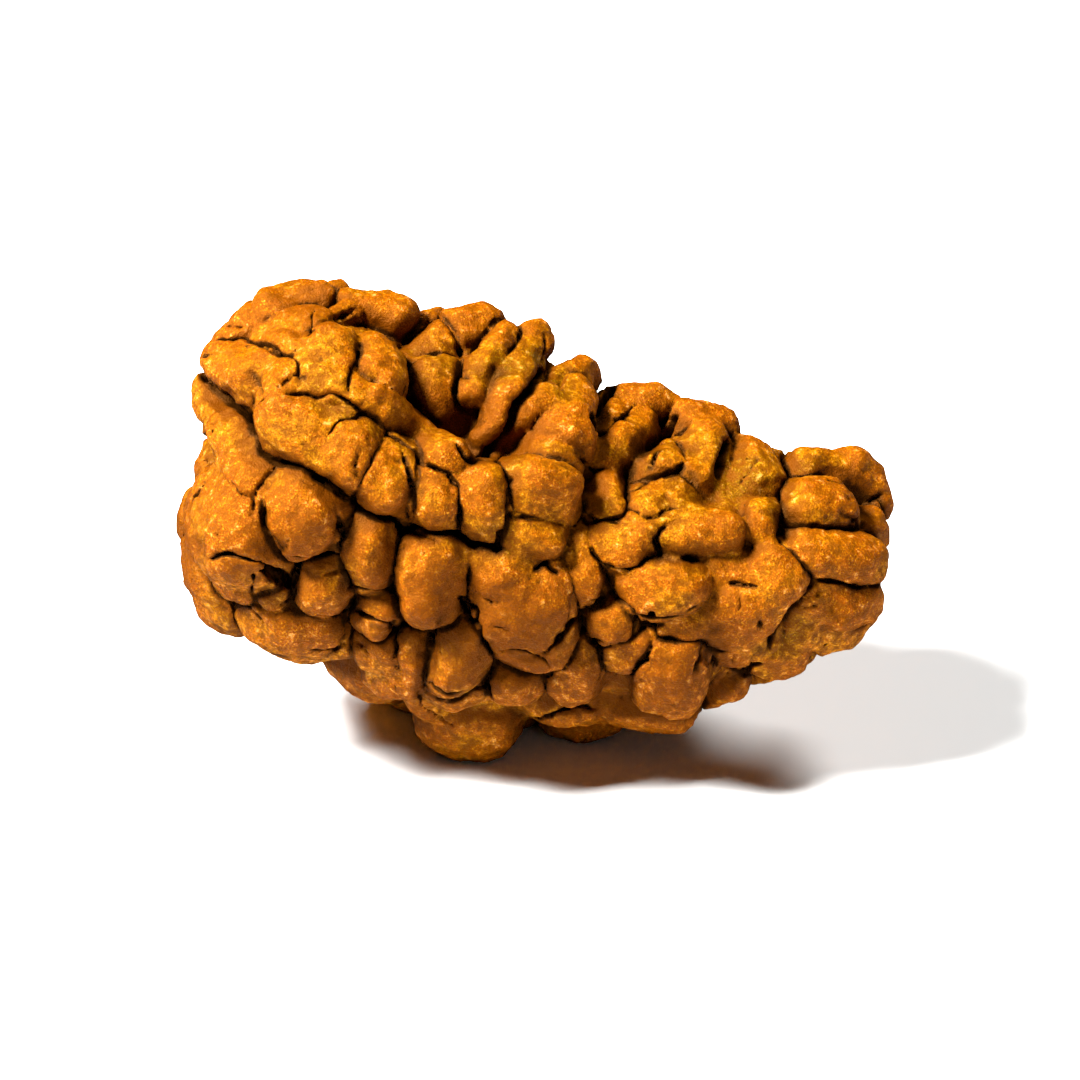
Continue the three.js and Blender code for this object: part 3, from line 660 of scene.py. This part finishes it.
# %% Hairline cracks, gaps, valleys and pits, drawn on the sketch
CRACKS = [
    [(-12.7, 8.4), (-12.2, 8.5), (-11.7, 8.4)],
    [(-13.6, 7.3), (-13.1, 7.4)],
    [(-11.4, 6.7), (-10.9, 5.8)],
    [(-10.4, 5.9), (-9.6, 6.5)],
    [(-8.4, 8.6), (-7.8, 8.8), (-7.2, 9.2)],
    [(-11.7, 8), (-11.1, 7.6), (-9.8, 7.1), (-9.6, 7.5)],
    [(-7.1, 3.4), (-7.2, 3), (-7.2, 2.8)],
    [(-7.3, 2.7), (-7, 2.4)],
    [(8.7, 3.3), (7.8, 2.1)],
    [(-5.4, 3.7), (-5.3, 3.2), (-5.1, 2.6), (-5, 2), (-5, 1.4), (-5.1, 0.9)],
    [(-5.8, 3.2), (-5.4, 3.1)],
    [(0, 3.2), (0.9, 3.2)],
    [(-1.3, 1), (-0.7, 0.8), (-0.1, 0.8)],
    [(2.4, 0.8), (3, 0.8), (3.6, 0.5)],
    [(3.3, 1.3), (3.8, 1.1), (4.4, 0.8), (5, 1.2), (5.6, 1.3)],
    [(-9.6, 2.4), (-8.8, 2.1)],
    [(-8.2, 1.9), (-7.3, 1.4)],
    [(-5.8, 0.5), (-4, 0)],
    [(-0.1, -1.8), (0.1, -1.5)],
    [(-2.5, -2.1), (-2.1, -2.4), (-1.7, -2.5)],
    [(-2, -3.4), (-1.6, -3.5), (-1.2, -3.6)],
    [(2.4, -2.3), (1.9, -2.5)],
    [(2.6, -2.1), (2.4, -2.4)],
    [(2.2, -4.4), (2.4, -4.2)],
    [(2.4, -5), (2.5, -5.2), (2.3, -5.6)],
    [(-10.3, 2.9), (-10.7, 2.6), (-11, 2.1), (-11.3, 1.7), (-11.2, 1.2)],
    [(-10, -0.3), (-9.8, 0.1)],
    [(-10, -0.3), (-10.3, -0.6)],
    [(-12.2, 2.4), (-11.9, 2), (-11.3, 1.6)],
    [(-11.6, 0.9), (-11.2, 1)],
    [(-13.1, 2.6), (-13.4, 2.1), (-13.9, 1.4)],
    [(-9.5, -1.1), (-9.2, -1.2)],
    [(-8.5, -1.3), (-7.8, -1.2)],
    [(-9.7, -2.1), (-10, -2.4), (-10.3, -2.7)],
    [(-11.2, -1.2), (-11.3, -2), (-11.4, -2.2)],
    [(-12.3, -2.5), (-11.8, -2.6), (-11.3, -2.9), (-10.9, -3.4)],
    [(-9.2, -4.3), (-8.8, -4.4), (-8, -4.3), (-7.7, -4.1)],
    [(-7.3, -4), (-6.8, -4.4), (-6.6, -4.7)],
    [(-5.8, -5), (-5.4, -5.3)],
    [(-5.6, -4), (-5.7, -4.4), (-5.9, -4.8)],
    [(-5.8, -5.7), (-5.7, -6.2)],
    [(-4.2, -4.8), (-4.3, -5)],
    [(-4.9, -6), (-4.8, -6.6), (-4.5, -6.9), (-4.1, -7.1), (-3.5, -7.4)],
    [(-0.3, -6), (-0.1, -6.3), (0.1, -6.6)],
    [(1.1, -6.5), (1.4, -6.8)],
    [(10.8, -2.2), (11, -2.2)],
    [(7.8, -2), (8, -2.4), (7.8, -3)],
    [(8.7, -2.9), (8.7, -3.3), (8.6, -3.7)],
    [(10.4, -2.7), (10.9, -2.6), (11.1, -2.8)],
    [(7.7, -4.6), (7.5, -5.3)],
    [(8.5, -4.6), (8.2, -5.4)],
    [(8.3, -0.2), (8.5, -0.4)],
]
GAPS = [
    [(-5.2, 7.2), (-5.25, 6.7), (-5.3, 6.0)],
    [(0.1, -1.2), (0.4, -1.1), (0.7, -1.4)],
    [(4.6, 0), (4.8, -0.5)],
    [(5.6, -0.7), (6.2, -0.9)],
    [(3.3, -5.3), (3.8, -5.7)],
    [(-2.1, -5.6), (-1.8, -6.5)],
    [(-3.4, -2.4), (-2.8, -2.8), (-2.2, -3.2)],
    [(-1.8, 0.4), (-1.7, -0.2)],
    [(-13.6, 6.7), (-13.1, 6.4), (-12.6, 6.1)],
]
VALLEYS = [
    [(0.6, 7.3), (0.1, 6.7), (-0.4, 5.8), (-1.0, 5.0), (-1.3, 4.2), (-1.9, 3.5), (-2.7, 3.1)],
    [(2.9, 6.3), (2.4, 5.5), (2.2, 4.8), (2.4, 4.2)],
    [(5.4, 4.9), (4.9, 4.2), (4.3, 3.6)],
    [(7.6, 4.1), (7.3, 3.3), (7.1, 2.5)],
    [(-10.9, -1.2), (-10.4, -1.4), (-9.9, -1.8)],
]
PITS = [
    # right, up, radius
    [-9.3, 3.7, 0.13],
    [-7.2, 2.9, 0.12],
    [-6.7, 4.0, 0.12],
    [-13.3, 3.1, 0.14],
    [-12.7, 0.2, 0.13],
    [-5.4, -0.3, 0.13],
    [2.8, -2.0, 0.12],
    [1.7, 0.7, 0.1],
    [4.4, -3.0, 0.2],
    [10.5, -0.6, 0.12],
    [7.9, -4.9, 0.13],
    [11.4, -4.2, 0.12],
    [11.0, -3.8, 0.1],
]

# %% [markdown]
# The cuts need the surface as it is now, so the grid of distances is read between its points by mixing the
# eight corners round a place. A place that is near the surface can then be pulled onto it, by walking down
# the slope as far as the distance says.

# %% Read the grid
NEEDLE_GAP = 0.08      # distance between two needles
CUT_REACH = 0.3        # reach over which the surface's direction is measured
INSIDE = 1.001         # a place is read at least this many cells short of the grid's end
SETTLE_STEPS = 3


def sample(values, points):
    """Values of a grid array at any places, mixed from the eight corners round each."""
    size = np.array(values.shape)
    place = np.clip((points - LOW) / STEP, 0, size - INSIDE)
    base = place.astype(int)
    part = place - base
    total = np.zeros(len(points))
    for corner in np.ndindex(2, 2, 2):
        weight = np.prod(np.where(corner, part, 1 - part), axis=1)
        total += weight * values[tuple((base + corner).T)]
    return total


def grown(x, y, z):
    """Distance to the seed as it is now."""
    return sample(field, np.stack([x, y, z], -1))


def settle(points):
    """Pulls places that are near the surface onto it."""
    for _ in range(SETTLE_STEPS):
        points = points - slope(grown, points, NEEDLE_GAP) * at(grown, points)[:, None]
    return points


# %% [markdown]
# A cut is a row of needles that point straight into the wood, so close together that they leave one clean
# slot. It gets thinner towards its ends, and strays a little from the drawn line, because no crack is
# straight.

# %% Lines of needles
CUT_BLEND = 0.06       # rounding of a cut's rims
NEEDLE_RISE = 0.12     # how far a needle starts above the surface
NEEDLE_TIP = 0.35      # radius at a needle's tip, as part of the radius at the surface
FADE = 0.6             # length over which a line gets thinner towards its ends
END_PART = 0.25        # square of the thickness that is left at an end
CORNER_SHARES = (0.75, 0.25)    # shares of a line's two ends in the places where its corners are cut
CORNER_CUTS = 2
WOBBLE = 0.05          # how far a line strays sideways
LEAP = 0.7             # a line breaks off where it leaps further than this, from one lobe to one behind


def resampled(line):
    """Places at even gaps along a line."""
    lengths = np.concatenate([[0], np.cumsum(np.linalg.norm(np.diff(line, axis=0), axis=1))])
    steps = np.linspace(0, lengths[-1], max(2, round(lengths[-1] / NEEDLE_GAP)))
    return np.stack([np.interp(steps, lengths, column) for column in line.T], -1)


def along_line(corners):
    """Close places on a line of the sketch whose corners are cut twice."""
    line = np.array(corners, float)
    near, far = CORNER_SHARES
    for _ in range(CORNER_CUTS):
        inner = np.stack([near * line[:-1] + far * line[1:], far * line[:-1] + near * line[1:]], 1)
        line = np.concatenate([line[:1], inner.reshape(-1, 2), line[-1:]])
    line = resampled(line)
    stray = np.cumsum(rng.normal(0, WOBBLE / 2, line.shape), axis=0)
    stray -= np.linspace(stray[0], stray[-1], len(line))
    return line + np.clip(stray, -WOBBLE, WOBBLE)


def fading(count):
    """Thickness along a line of needles, 1 in its middle and less at both ends."""
    from_end = np.minimum(np.arange(count), np.arange(count)[::-1]) * NEEDLE_GAP
    return np.sqrt(np.clip(END_PART + from_end / FADE, 0, 1))


def cut_needles(places, radii, depths):
    """Cuts a needle into the stone at each place."""
    for place, normal, radius, depth in zip(places, slope(grown, places, CUT_REACH), radii, depths):
        start, end = place + NEEDLE_RISE * normal, place - depth * normal
        needle = Finger(start, radius, end, NEEDLE_TIP * radius)
        part = block(needle.middle, needle.half_box + CUT_BLEND)
        x, y, z = grid_places(part, bent=False)
        field[part] = carve(field[part], needle.distance(x, y, z), CUT_BLEND)


def cut_row(places, radius, depth):
    """Cuts needles close together along places on the surface, and breaks off where those leap."""
    gaps = np.linalg.norm(np.diff(places, axis=0), axis=1)
    for run in np.split(places, np.nonzero(gaps > LEAP)[0] + 1):
        if len(run) > 1:
            run = resampled(run)
            thickness = fading(len(run))
            cut_needles(run, radius * thickness, depth * thickness)


# %% [markdown]
# A crevice that runs beside the border of two lobes looks like the slash of a knife. So each place of a
# crevice is tried on a few rings round itself, the one nearest to a border wins, and the shifts are evened
# out along the line. The widest and deepest cuts come last, so that no finer one is cut into their walls.

# %% Cut them
VALLEY_RINGS = [0.1, 0.2, 0.3, 0.4]     # how far a crevice may move to meet the border of two lobes
VALLEY_TRIES = 12      # places tried on each ring
VALLEY_PULL = 0.5      # how much a crevice keeps to its drawn place
EVENED = 5             # places over which the shifts are evened out
FURROW_SIZE = {"radius": 0.11, "depth": 1.3}
VALLEY_SIZE = {"radius": 0.22, "depth": 1.0}
GAP_SIZE = {"radius": 0.14, "depth": 0.8}
CREVICE_SIZE = {"radius": 0.055, "depth": 0.55}
CRACK_SIZE = {"radius": 0.05, "depth": 0.3}


def into_valley(places):
    """Moves the places of a line to where two lobes meet, if that is near, and smooths the line."""
    normals = slope(grown, places, CUT_REACH)
    across = flatten(np.broadcast_to(RIGHT, normals.shape), normals)
    other = np.cross(normals, across)
    tries, costs = [places], [sample(border, places)]
    for ring in VALLEY_RINGS:
        for turn in np.arange(VALLEY_TRIES) * (2 * math.pi / VALLEY_TRIES):
            moved = settle(places + ring * (math.cos(turn) * across + math.sin(turn) * other))
            tries.append(moved)
            costs.append(sample(border, moved) + VALLEY_PULL * ring)
    best = np.argmin(costs, axis=0)
    moved = np.array(tries)[best, np.arange(len(places))]
    shift = np.pad(moved - places, ((EVENED // 2, EVENED // 2), (0, 0)), mode="edge")
    return places + sum(shift[i : i + len(places)] for i in range(EVENED)) / EVENED


def cut_lines(lines, radius, depth, follow=False):
    """Cuts lines of the sketch into the seed; they may follow the borders of its lobes."""
    for line in lines:
        places = drop(grown, along_line(line))
        cut_row(settle(into_valley(places)) if follow else places, radius, depth)


cut_lines(CRACKS, **CRACK_SIZE)
for lines in (CREVICES_TOP, CREVICES_MIDDLE, CREVICES_LEFT, CREVICES_RIGHT):
    cut_lines(lines, **CREVICE_SIZE, follow=True)
cut_lines(GAPS, **GAP_SIZE, follow=True)
cut_lines(VALLEYS, **VALLEY_SIZE)
cut_lines(FURROW, **FURROW_SIZE, follow=True)
pits = np.array(PITS)
cut_needles(drop(grown, pits[:, :2]), pits[:, 2], pits[:, 2])
print("after the cuts:", volume_inside(field), "cubic mm")

# %% [markdown]
# The far side gets cracks by a rule. Each starts somewhere on the surface and creeps along it in small steps,
# turning a little each time. After each step it is pulled back onto the surface. Fine pits are then strewn
# over the whole seed.

# %% Cracks of the far side
WANDERERS = 110
WANDER_STEPS = (6, 26)         # shortest and longest crack, in needles
WANDER_TURN = 0.16             # how much a crack turns at each step, in radians
PIT_COUNT = 260
PIT_RADII = (0.05, 0.11)

places = from_core(grown, spread_directions(WANDERERS * 2))
hidden = slope(grown, places, CUT_REACH) @ TOWARDS < FAR_LIMIT
places = places[hidden]
lengths = rng.integers(*WANDER_STEPS, len(places))
ways = rng.normal(size=places.shape)
rows = []
for _ in range(WANDER_STEPS[1]):
    normals = slope(grown, places, CUT_REACH)
    ways = flatten(ways, normals)
    rows.append(places)
    ways = ways + WANDER_TURN * rng.normal(size=(len(places), 1)) * np.cross(normals, ways)
    places = settle(places + NEEDLE_GAP * ways)
for which, count in enumerate(lengths):
    cut_row(np.array(rows[:count])[:, which], **CRACK_SIZE)

places = from_core(grown, rng.permutation(spread_directions(PIT_COUNT)))
radii = rng.uniform(*PIT_RADII, PIT_COUNT)
cut_needles(places, radii, radii)
print("cracks of the far side:", len(lengths), "and pits:", PIT_COUNT)

# %% [markdown]
# Where two cuts pass close by each other, a strand of wood as thin as a hair is left between them. On the
# real stone it would have broken off. So the wood is shrunk by one step of the grid and grown again: what
# was thinner than two steps is gone, and the rest is as it was.

# %% Break off thin strands
for pick in (np.maximum, np.minimum):    # the largest distance near each place shrinks, the smallest grows
    for axis in range(3):
        layers = np.moveaxis(field, axis, 0)
        layers[1:-1] = pick(pick(layers[:-2], layers[1:-1]), layers[2:])
print("without thin strands:", volume_inside(field), "cubic mm")

# %% [markdown]
# The seed stands on its convex edge. Its lowest lobes are worn flat, so everything under the rest plane is
# cut off. Then the surface is drawn where the distance is zero, with a corner for each cell of the grid that
# it crosses.

# %% Draw the surface
BAND = 3 * STEP        # the mesher only needs distances this near the surface

z_of_grid = AXES[2].astype(np.float32)
field = np.maximum(field, REST_PLACE[2] - z_of_grid)
volume = openvdb.FloatGrid(BAND)
volume.copyFromArray(np.clip(field, -BAND, BAND))
corners, quads = volume.convertToQuads(0.0)


def largest_piece(corners, faces):
    """Leaves out bubbles inside the wood: only the faces that hang together with most others stay."""
    group = np.arange(len(corners))
    settled = False
    while not settled:
        merged = group.copy()
        np.minimum.at(merged, faces, group[faces].min(axis=1)[:, None])
        merged = merged[merged]
        settled = np.array_equal(merged, group)
        group = merged
    kept = group == np.bincount(group[faces[:, 0]]).argmax()
    number = np.cumsum(kept) - 1
    return corners[kept], number[faces[kept[faces[:, 0]]]]


corners, quads = largest_piece(corners, quads.astype(int))
corners = (LOW + corners * STEP - REST_PLACE) * MM

mesh = bpy.data.meshes.new("rudraksha_seed_surface")
mesh.from_pydata(corners.tolist(), [], quads.tolist())
seed = bpy.data.objects.new("rudraksha_seed_surface", mesh)
bpy.context.scene.collection.objects.link(seed)
print("drawn with", len(quads), "quads")

# %% [markdown]
# One small function adds a node, sets it up and links it, for the geometry tree and for the materials.
# Colours are written as they look on a screen and turned into light values by the other function.

# %% Helpers for nodes
def add(tree, kind, inputs=None, **settings):
    """Adds a node. Inputs are named or numbered sockets, with a value or with the output to link."""
    node = tree.nodes.new(kind)
    for name, value in settings.items():
        setattr(node, name, value)
    for name, value in (inputs or {}).items():
        if isinstance(value, bpy.types.NodeSocket):
            tree.links.new(value, node.inputs[name])
        else:
            node.inputs[name].default_value = value
    return node


def light_value(code):
    """Linear colour of a hex code such as #C07020."""
    parts = [int(code[i : i + 2], 16) / 255 for i in (1, 3, 5)]
    return [part / 12.92 if part <= 0.04045 else ((part + 0.055) / 1.055) ** 2.4 for part in parts] + [1]


# %% [markdown]
# To the touch a rudraksha is not smooth: its lobes are lumpy and their skin is wrinkled. That could be
# bump in the material, but it shows at the outline too. It follows a rule, so a Geometry Nodes tree makes
# it: two noises, one for lumps and one for wrinkles, move each corner a little along its normal. What they
# push down past the rest spot is worn flat again.

# %% Lumps and wrinkles
NOISE_MIDDLE = 0.5     # value round which a noise varies
RELIEF = {
    "Lump Size": 1.3 * MM,
    "Lump Height": 0.42 * MM,
    "Wrinkle Size": 0.45 * MM,
    "Wrinkle Height": 0.17 * MM,
}


def relief_tree(material):
    """Geometry nodes that move each corner of a mesh by two noises."""
    tree = bpy.data.node_groups.new("relief", "GeometryNodeTree")
    tree.interface.new_socket("Geometry", in_out="INPUT", socket_type="NodeSocketGeometry")
    tree.interface.new_socket("Geometry", in_out="OUTPUT", socket_type="NodeSocketGeometry")
    for name in RELIEF:
        tree.interface.new_socket(name, in_out="INPUT", socket_type="NodeSocketFloat")
    given = add(tree, "NodeGroupInput").outputs
    place = add(tree, "GeometryNodeInputPosition").outputs[0]
    normal = add(tree, "GeometryNodeInputNormal").outputs[0]
    shape = given["Geometry"]
    for kind in ("Lump", "Wrinkle"):
        scale = add(tree, "ShaderNodeMath", {0: 1.0, 1: given[kind + " Size"]}, operation="DIVIDE")
        noise = add(tree, "ShaderNodeTexNoise", {"Vector": place, "Scale": scale.outputs[0]})
        centred = add(tree, "ShaderNodeMath", {0: noise.outputs[0], 1: NOISE_MIDDLE}, operation="SUBTRACT")
        factors = {0: centred.outputs[0], 1: given[kind + " Height"]}
        height = add(tree, "ShaderNodeMath", factors, operation="MULTIPLY")
        offset = add(tree, "ShaderNodeVectorMath", {0: normal, "Scale": height.outputs[0]}, operation="SCALE")
        moved = add(tree, "GeometryNodeSetPosition", {"Geometry": shape, "Offset": offset.outputs[0]})
        shape = moved.outputs[0]
    shape = add(tree, "GeometryNodeSetMaterial", {"Geometry": shape, "Material": material}).outputs[0]
    add(tree, "NodeGroupOutput", {"Geometry": shape})
    return tree


def applied(piece):
    """The piece's mesh with its modifiers worked in; the modifiers are then removed."""
    graph = bpy.context.evaluated_depsgraph_get()
    made = bpy.data.meshes.new_from_object(piece.evaluated_get(graph), depsgraph=graph)
    piece.modifiers.clear()
    piece.data = made
    return made


wood = bpy.data.materials.new("oiled_rudraksha_wood")
tree = relief_tree(wood)
modifier = seed.modifiers.new("relief", "NODES")
modifier.node_group = tree
sockets = {item.name: item.identifier for item in tree.interface.items_tree if item.in_out == "INPUT"}
for name, value in RELIEF.items():
    modifier[sockets[name]] = value
mesh = applied(seed)
for corner in mesh.vertices:
    corner.co.z = max(corner.co.z, 0)
print("corners moved:", len(mesh.vertices))

# %% [markdown]
# The mesh is far heavier than it has to be where the seed is smooth, so corners that add least to the shape
# are taken away until a given number of triangles is left. Cracks and rims keep theirs.

# %% Thin the mesh
TRIANGLES = 196000

thinner = seed.modifiers.new("thinner", "DECIMATE")
thinner.ratio = min(1.0, TRIANGLES / (2 * len(quads)))
mesh = applied(seed)
mesh.shade_smooth()
print("thinned to", len(mesh.polygons), "faces")

# %% [markdown]
# Shade is painted into the wood's colour: it is darker where the stone is hollow, so the colour follows its
# shape. The grid of distances says how open each place is: a short way out from an open place, the distance
# to the seed is as long as the way itself, and in a crevice it is less. The values are kept with the mesh for
# the material, with the height over the plain body, which tells the tops of the lobes from their foot.

# %% Measure the openness
WAYS = {"openness_near": 0.3, "openness_wide": 1.1, "openness_far": 3.0}


def read(data, name, width):
    """One value of every corner, as rows of the given width."""
    values = np.empty(len(data) * width, np.float32)
    data.foreach_get(name, values)
    return values.reshape(-1, width).astype(float)


def keep(name, values):
    """Keeps one number for every corner with the mesh."""
    mesh.attributes.new(name, "FLOAT", "POINT").data.foreach_set("value", values.astype(np.float32))
    print(name, "from", round(values.min(), 2), "to", round(values.max(), 2))


places = read(mesh.vertices, "co", 3) / MM + REST_PLACE
normals = read(mesh.vertex_normals, "vector", 3)
for name, way in WAYS.items():
    keep(name, np.clip(sample(field, places + way * normals) / way, 0, 1))
keep("lobe_height", np.clip(sample(plain, places), -1, 2))

# %% [markdown]
# Dry rudraksha wood, oiled by hand: a satin, hard, woody skin. The tops of the lobes are red-brown and
# polished by touch, their flanks are orange, the flat places between them olive-yellow, and painted shade
# darkens the hollows and the crevices. A fine speckle of lighter and darker fibres runs over all of it; the
# lightest specks and some pale spots are painted highlights as well.
# The colours are mixed from the kept measures and from noises whose scales are real sizes.

# %% Oiled rudraksha wood
NOISES = {
    # size, detail, roughness
    "patches": [2.6 * MM, 2.0, 0.5],     # patches of redder and yellower wood
    "mottle": [0.7 * MM, 4.0, 0.6],      # lighter and darker areas within a lobe
    # this noise also places pale spots, rubbed skin that is partly painted highlight
    "stain_and_highlight": [0.35 * MM, 5.0, 0.7],      # small stains of oil
    "speckle": [0.08 * MM, 3.0, 0.7],    # fibre ends, drawn a little coarser than real so that they show
}
TONE_PARTS = [
    # what the tone is added up from: measure or noise, its range, and what that range adds
    ["lobe_height", -0.1, 1.1, 0.1, 0.85],
    ["patches", 0.25, 0.75, -0.35, 0.35],
    ["mottle", 0.25, 0.75, -0.3, 0.3],
]
TONES = [
    # tone, colour
    [0.0, "#624600"],
    [0.3, "#845200"],
    [0.5, "#A46200"],
    [0.7, "#A05400"],
    [1.0, "#8C4200"],
]
LAYERS = [
    # colours laid over the tones: where a measure or noise goes from one value to the other, how much, colour
    # light fibre ends, partly painted highlights: bright specks that stand in for glints on the lobes
    ["speckle", 0.52, 0.68, 0.6, "#F0A418"],
    ["speckle", 0.5, 0.34, 0.8, "#6A3000"],
    # pale rubbed spots on the lobes, partly painted highlights
    ["stain_and_highlight", 0.58, 0.72, 0.5, "#F4B45C"],
    ["stain_and_highlight", 0.62, 0.4, 0.85, "#623000"],
    # painted shade: darker in the wide hollow between roll and crest, round the foot of each lobe, and near
    # black in the crevices
    ["openness_far", 0.95, 0.4, 0.75, "#5E2C00"],
    ["openness_wide", 0.95, 0.4, 0.85, "#562800"],
    ["openness_near", 0.75, 0.25, 0.92, "#1C0C01"],
]
ROUGHNESS = ["stain_and_highlight", 0.35, 0.65, 0.48, 0.34]    # polished wood, and duller where the oil has stained it
BUMP_HEIGHT = 0.07 * MM
BUMP_STRENGTH = 0.7
STAIN_BUMP = 2.0       # height of the stains in the bump, as part of the speckle's
GLINT = 0.45           # strength of the glints
GLINT_COLOUR = "#FFA040"


def make_wood(material):
    """Builds the material's nodes from the tables."""
    material.use_nodes = True
    tree = material.node_tree
    tree.nodes.clear()
    place = add(tree, "ShaderNodeTexCoord").outputs["Object"]
    values = {}
    for name, (size, detail, roughness) in NOISES.items():
        inputs = {"Vector": place, "Scale": 1 / size, "Detail": detail, "Roughness": roughness}
        values[name] = add(tree, "ShaderNodeTexNoise", inputs).outputs[0]
    for name in ["lobe_height", *WAYS]:
        values[name] = add(tree, "ShaderNodeAttribute", attribute_name=name).outputs["Fac"]

    tone = 0.0
    for name, low, high, to_low, to_high in TONE_PARTS:
        inputs = {"Value": values[name], 1: low, 2: high, 3: to_low, 4: to_high}
        part = add(tree, "ShaderNodeMapRange", inputs, interpolation_type="SMOOTHSTEP")
        tone = add(tree, "ShaderNodeMath", {0: tone, 1: part.outputs[0]}, operation="ADD").outputs[0]
    ramp = add(tree, "ShaderNodeValToRGB", {"Fac": tone})
    while len(ramp.color_ramp.elements) < len(TONES):
        ramp.color_ramp.elements.new(0.5)
    for element, (position, code) in zip(ramp.color_ramp.elements, TONES):
        element.position = position
        element.color = light_value(code)

    colour = ramp.outputs[0]
    for name, low, high, most, code in LAYERS:
        inputs = {"Value": values[name], 1: low, 2: high, 3: 0.0, 4: most}
        part = add(tree, "ShaderNodeMapRange", inputs, interpolation_type="SMOOTHSTEP")
        inputs = {0: part.outputs[0], 6: colour, 7: light_value(code)}
        colour = add(tree, "ShaderNodeMix", inputs, data_type="RGBA").outputs[2]

    name, low, high, to_low, to_high = ROUGHNESS
    inputs = {"Value": values[name], 1: low, 2: high, 3: to_low, 4: to_high}
    roughness = add(tree, "ShaderNodeMapRange", inputs, interpolation_type="SMOOTHSTEP")
    inputs = {0: values["stain_and_highlight"], 1: STAIN_BUMP, 2: values["speckle"]}
    height = add(tree, "ShaderNodeMath", inputs, operation="MULTIPLY_ADD")
    inputs = {"Strength": BUMP_STRENGTH, "Distance": BUMP_HEIGHT, "Height": height.outputs[0]}
    bump = add(tree, "ShaderNodeBump", inputs)
    surface = add(
        tree,
        "ShaderNodeBsdfPrincipled",
        {
            "Base Color": colour,
            "Roughness": roughness.outputs[0],
            "Specular IOR Level": GLINT,
            "Specular Tint": light_value(GLINT_COLOUR),
            "Normal": bump.outputs[0],
        },
    )
    add(tree, "ShaderNodeOutputMaterial", {"Surface": surface.outputs[0]})


make_wood(wood)
print("nodes of the wood:", len(wood.node_tree.nodes))

# %% [markdown]
# The mesh is tied to the solid model: it moves with its only body, is shown in place of its one node, and is
# made of the material in its one slot.

# %% Tie the mesh to the solid
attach(seed, "root")
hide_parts("rudraksha_seed")

# %% [markdown]
# A plain pale floor, one soft light from the upper left, a weak one from the right, and one from behind that
# lights the crest. Only the first makes glints, because the seed shows small warm glints on its upper left
# and no pale sheen at its edges. The white sky is only a background: it gives no light to the seed. The
# camera is far away with a long lens, 35 degrees above the floor, as the photograph was taken.

# %% Floor, light and camera
FLOOR_SIZE = 1.2
FLOOR_COLOUR = "#F4F4F2"
FLOOR_ROUGHNESS = 0.9
CAMERA_DISTANCE = 0.36
VIEW_WIDTH = 43.2 * MM
SENSOR = 36.0       # width of the camera's sensor, in the millimetres that a lens is given in

floor_mesh = bpy.data.meshes.new("floor")
half = FLOOR_SIZE / 2
floor_corners = [(-half, -half, 0), (half, -half, 0), (half, half, 0), (-half, half, 0)]
floor_mesh.from_pydata(floor_corners, [], [(0, 1, 2, 3)])
floor = bpy.data.objects.new("floor", floor_mesh)
bpy.context.scene.collection.objects.link(floor)
paper = bpy.data.materials.new("white_paper")
paper.use_nodes = True
paper.node_tree.nodes.clear()
inputs = {"Base Color": light_value(FLOOR_COLOUR), "Roughness": FLOOR_ROUGHNESS}
paper_surface = add(paper.node_tree, "ShaderNodeBsdfPrincipled", inputs)
add(paper.node_tree, "ShaderNodeOutputMaterial", {"Surface": paper_surface.outputs[0]})
floor.data.materials.append(paper)
floor.visible_glossy = False

target = Vector(-REST_PLACE * MM)


def aim(thing, place):
    """Puts a light or the camera at a place and turns it to the seed."""
    thing.location = place
    thing.rotation_euler = (target - Vector(place)).to_track_quat("-Z", "Y").to_euler()


LIGHTS = [
    # name, place in metres, width in metres, watts
    ["key_light", (-0.78, -0.14, 1.05), 0.32, 92.0],
    ["fill_light", (0.6, -0.6, 0.4), 0.6, 0.3],
    ["back_light", (0.3, 0.85, 0.75), 0.4, 18.0],
]
for name, place, width, watts in LIGHTS:
    light = bpy.data.lights.new(name, "AREA")
    light.size = width
    light.energy = watts
    lamp = bpy.data.objects.new(name, light)
    lamp.visible_glossy = name == "key_light"
    bpy.context.scene.collection.objects.link(lamp)
    aim(lamp, place)

sky = bpy.data.worlds.new("studio")
bpy.context.scene.world = sky
sky.use_nodes = True
sky.node_tree.nodes["Background"].inputs["Color"].default_value = light_value("#FFFFFF")
sky.node_tree.nodes["Background"].inputs["Strength"].default_value = 1.0
sky.cycles_visibility.diffuse = False
sky.cycles_visibility.glossy = False

camera_data = bpy.data.cameras.new("camera")
camera_data.sensor_width = SENSOR
camera_data.lens = SENSOR * CAMERA_DISTANCE / VIEW_WIDTH
camera = bpy.data.objects.new("camera", camera_data)
bpy.context.scene.collection.objects.link(camera)
aim(camera, target + Vector(TOWARDS) * CAMERA_DISTANCE)
bpy.context.scene.camera = camera
bpy.context.scene.view_settings.view_transform = "Standard"
